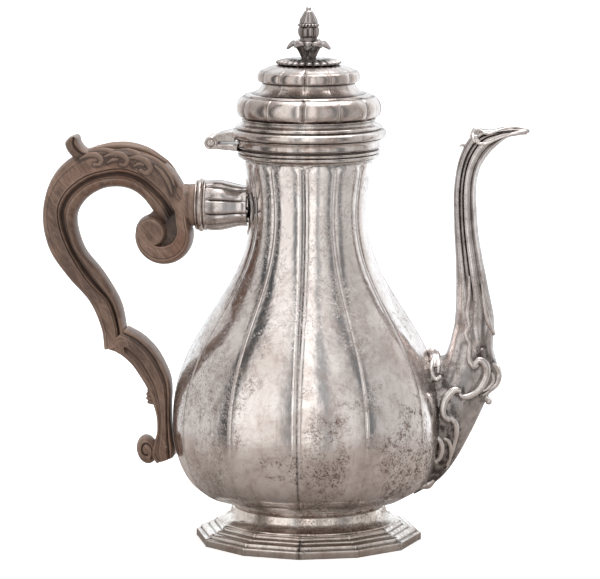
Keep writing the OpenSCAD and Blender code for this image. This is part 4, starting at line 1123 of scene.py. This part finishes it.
# Room -----------------------------------------------------------------------
def studio():
    """White surroundings with soft lights and the dark gaps between them, which the silver reflects."""
    world = bpy.data.worlds.new("studio")
    scene.world = world
    g = Graph(world)
    direction = g.node("SeparateXYZ", {0: g.node("TexCoord").outputs["Generated"]}).outputs
    behind = g.times(direction[1], -1.0)
    turn = g.maths("ARCTAN2", direction[0], behind)
    share = g.node("MapRange", {0: turn, 1: -math.pi, 2: math.pi}).outputs[0]
    warm, cool = (1.0, 0.965, 0.94), (0.93, 0.97, 1.0)
    bands = [(-180, 1.05, cool), (-150, 1.0, cool), (-128, 0.65, warm), (-100, 0.6, warm),
        (-84, 0.6, warm), (-76, 0.08, cool), (-63, 0.08, cool), (-56, 0.98, warm), (-42, 0.95, warm),
        (-24, 0.95, warm), (-14, 0.25, cool), (-9, 0.25, cool), (-3, 1.2, warm), (12, 1.15, warm),
        (18, 0.4, cool), (23, 0.4, cool), (29, 0.85, warm), (46, 0.62, warm), (56, 0.2, cool),
        (63, 0.2, cool), (70, 0.55, warm), (96, 0.55, warm), (118, 0.75, warm), (134, 1.15, cool),
        (180, 1.05, cool)]
    colour = g.ramp(share, [((a + 180) / 360, tuple(v * c for c in tint)) for a, v, tint in bands])
    overhead = g.fit(direction[2], 0.80, 0.93)
    colour = g.mix(overhead, colour, (1.25, 1.22, 1.2, 1))
    background = g.node("Background", {"Color": colour, "Strength": 1.12}).outputs[0]
    g.node("OutputWorld", {"Surface": background})
    scene.view_settings.view_transform = "Standard"


def floor():
    size = 40
    mesh = bpy.data.meshes.new("pale_floor")
    mesh.from_pydata([(-size, -size, 0), (size, -size, 0), (size, size, 0), (-size, size, 0)], [],
        [(0, 1, 2, 3)])
    made = bpy.data.objects.new("pale_floor", mesh)
    scene.collection.objects.link(made)
    material = bpy.data.materials.new("pale_floor")
    g = Graph(material)
    seen = g.node("LightPath").outputs["Is Camera Ray"]
    pale = g.node("BsdfDiffuse", {"Color": (0.9, 0.9, 0.9, 1)}).outputs[0]
    glow = g.node("Emission", {"Color": (1, 1, 1, 1), "Strength": 0.55}).outputs[0]
    bright = g.node("AddShader", {0: pale, 1: glow}).outputs[0]
    # The silver reflects a darker table top, which ends a short way from the pot
    place = g.node("TexCoord").outputs["Object"]
    far = g.fit(g.node("VectorMath", {0: place}, operation="LENGTH").outputs["Value"], 0.1, 0.6)
    top = g.node("BsdfDiffuse", {"Color": (0.40, 0.36, 0.335, 1)}).outputs[0]
    table = g.node("MixShader", {0: far, 1: top, 2: g.node("BsdfTransparent").outputs[0]}).outputs[0]
    g.node("OutputMaterial", {"Surface": g.node("MixShader", {0: seen, 1: table, 2: bright}).outputs[0]})
    mesh.materials.append(material)


def area_light(name, place, aim, size, power):
    light = bpy.data.lights.new(name, "AREA")
    light.shape = "RECTANGLE"
    light.size, light.size_y = size
    light.energy = power
    made = bpy.data.objects.new(name, light)
    scene.collection.objects.link(made)
    made.location = place
    made.rotation_euler = (Vector(aim) - Vector(place)).to_track_quat("-Z", "Y").to_euler()


def camera():
    """The picture is 600 wide and 579 high, taken from a little above, 5 degrees to the spout's side."""
    turn = math.radians(5)
    distance, eye_height = 2100.0, 420.0
    aim_x, aim_z = -4.5, 132.0
    tilt = math.asin((eye_height - aim_z) / distance)
    right = Vector((math.cos(turn), math.sin(turn), 0))
    back = Vector((math.sin(turn) * math.cos(tilt), -math.cos(turn) * math.cos(tilt), math.sin(tilt)))
    data = bpy.data.cameras.new("camera")
    data.sensor_fit = "HORIZONTAL"
    data.sensor_width = 36
    data.lens = 241
    made = bpy.data.objects.new("camera", data)
    scene.collection.objects.link(made)
    made.location = (right * aim_x + Vector((0, 0, aim_z)) + back * distance) * MM
    made.rotation_euler = back.to_track_quat("Z", "Y").to_euler()
    scene.camera = made


camera()
studio()
floor()
area_light("top", (0.3, 0.2, 1.8), (0, 0, 0.1), (1.4, 1.4), 14)
make_body()
make_mouldings()
make_foot()
make_lid()
make_finial()
make_hinge()
make_spout()
make_socket()
make_handle()

# CAD pieces that keep their shape
KEPT = ["socket_pin", "lower_lug", "lug_pin", "hinge_pin", "lid_bezel", "finial_stud", "finial_washer",
    "finial_nut"]
for node in KEPT:
    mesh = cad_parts[node].data
    mesh.materials.clear()
    mesh.materials.append(TRIM_SILVER)
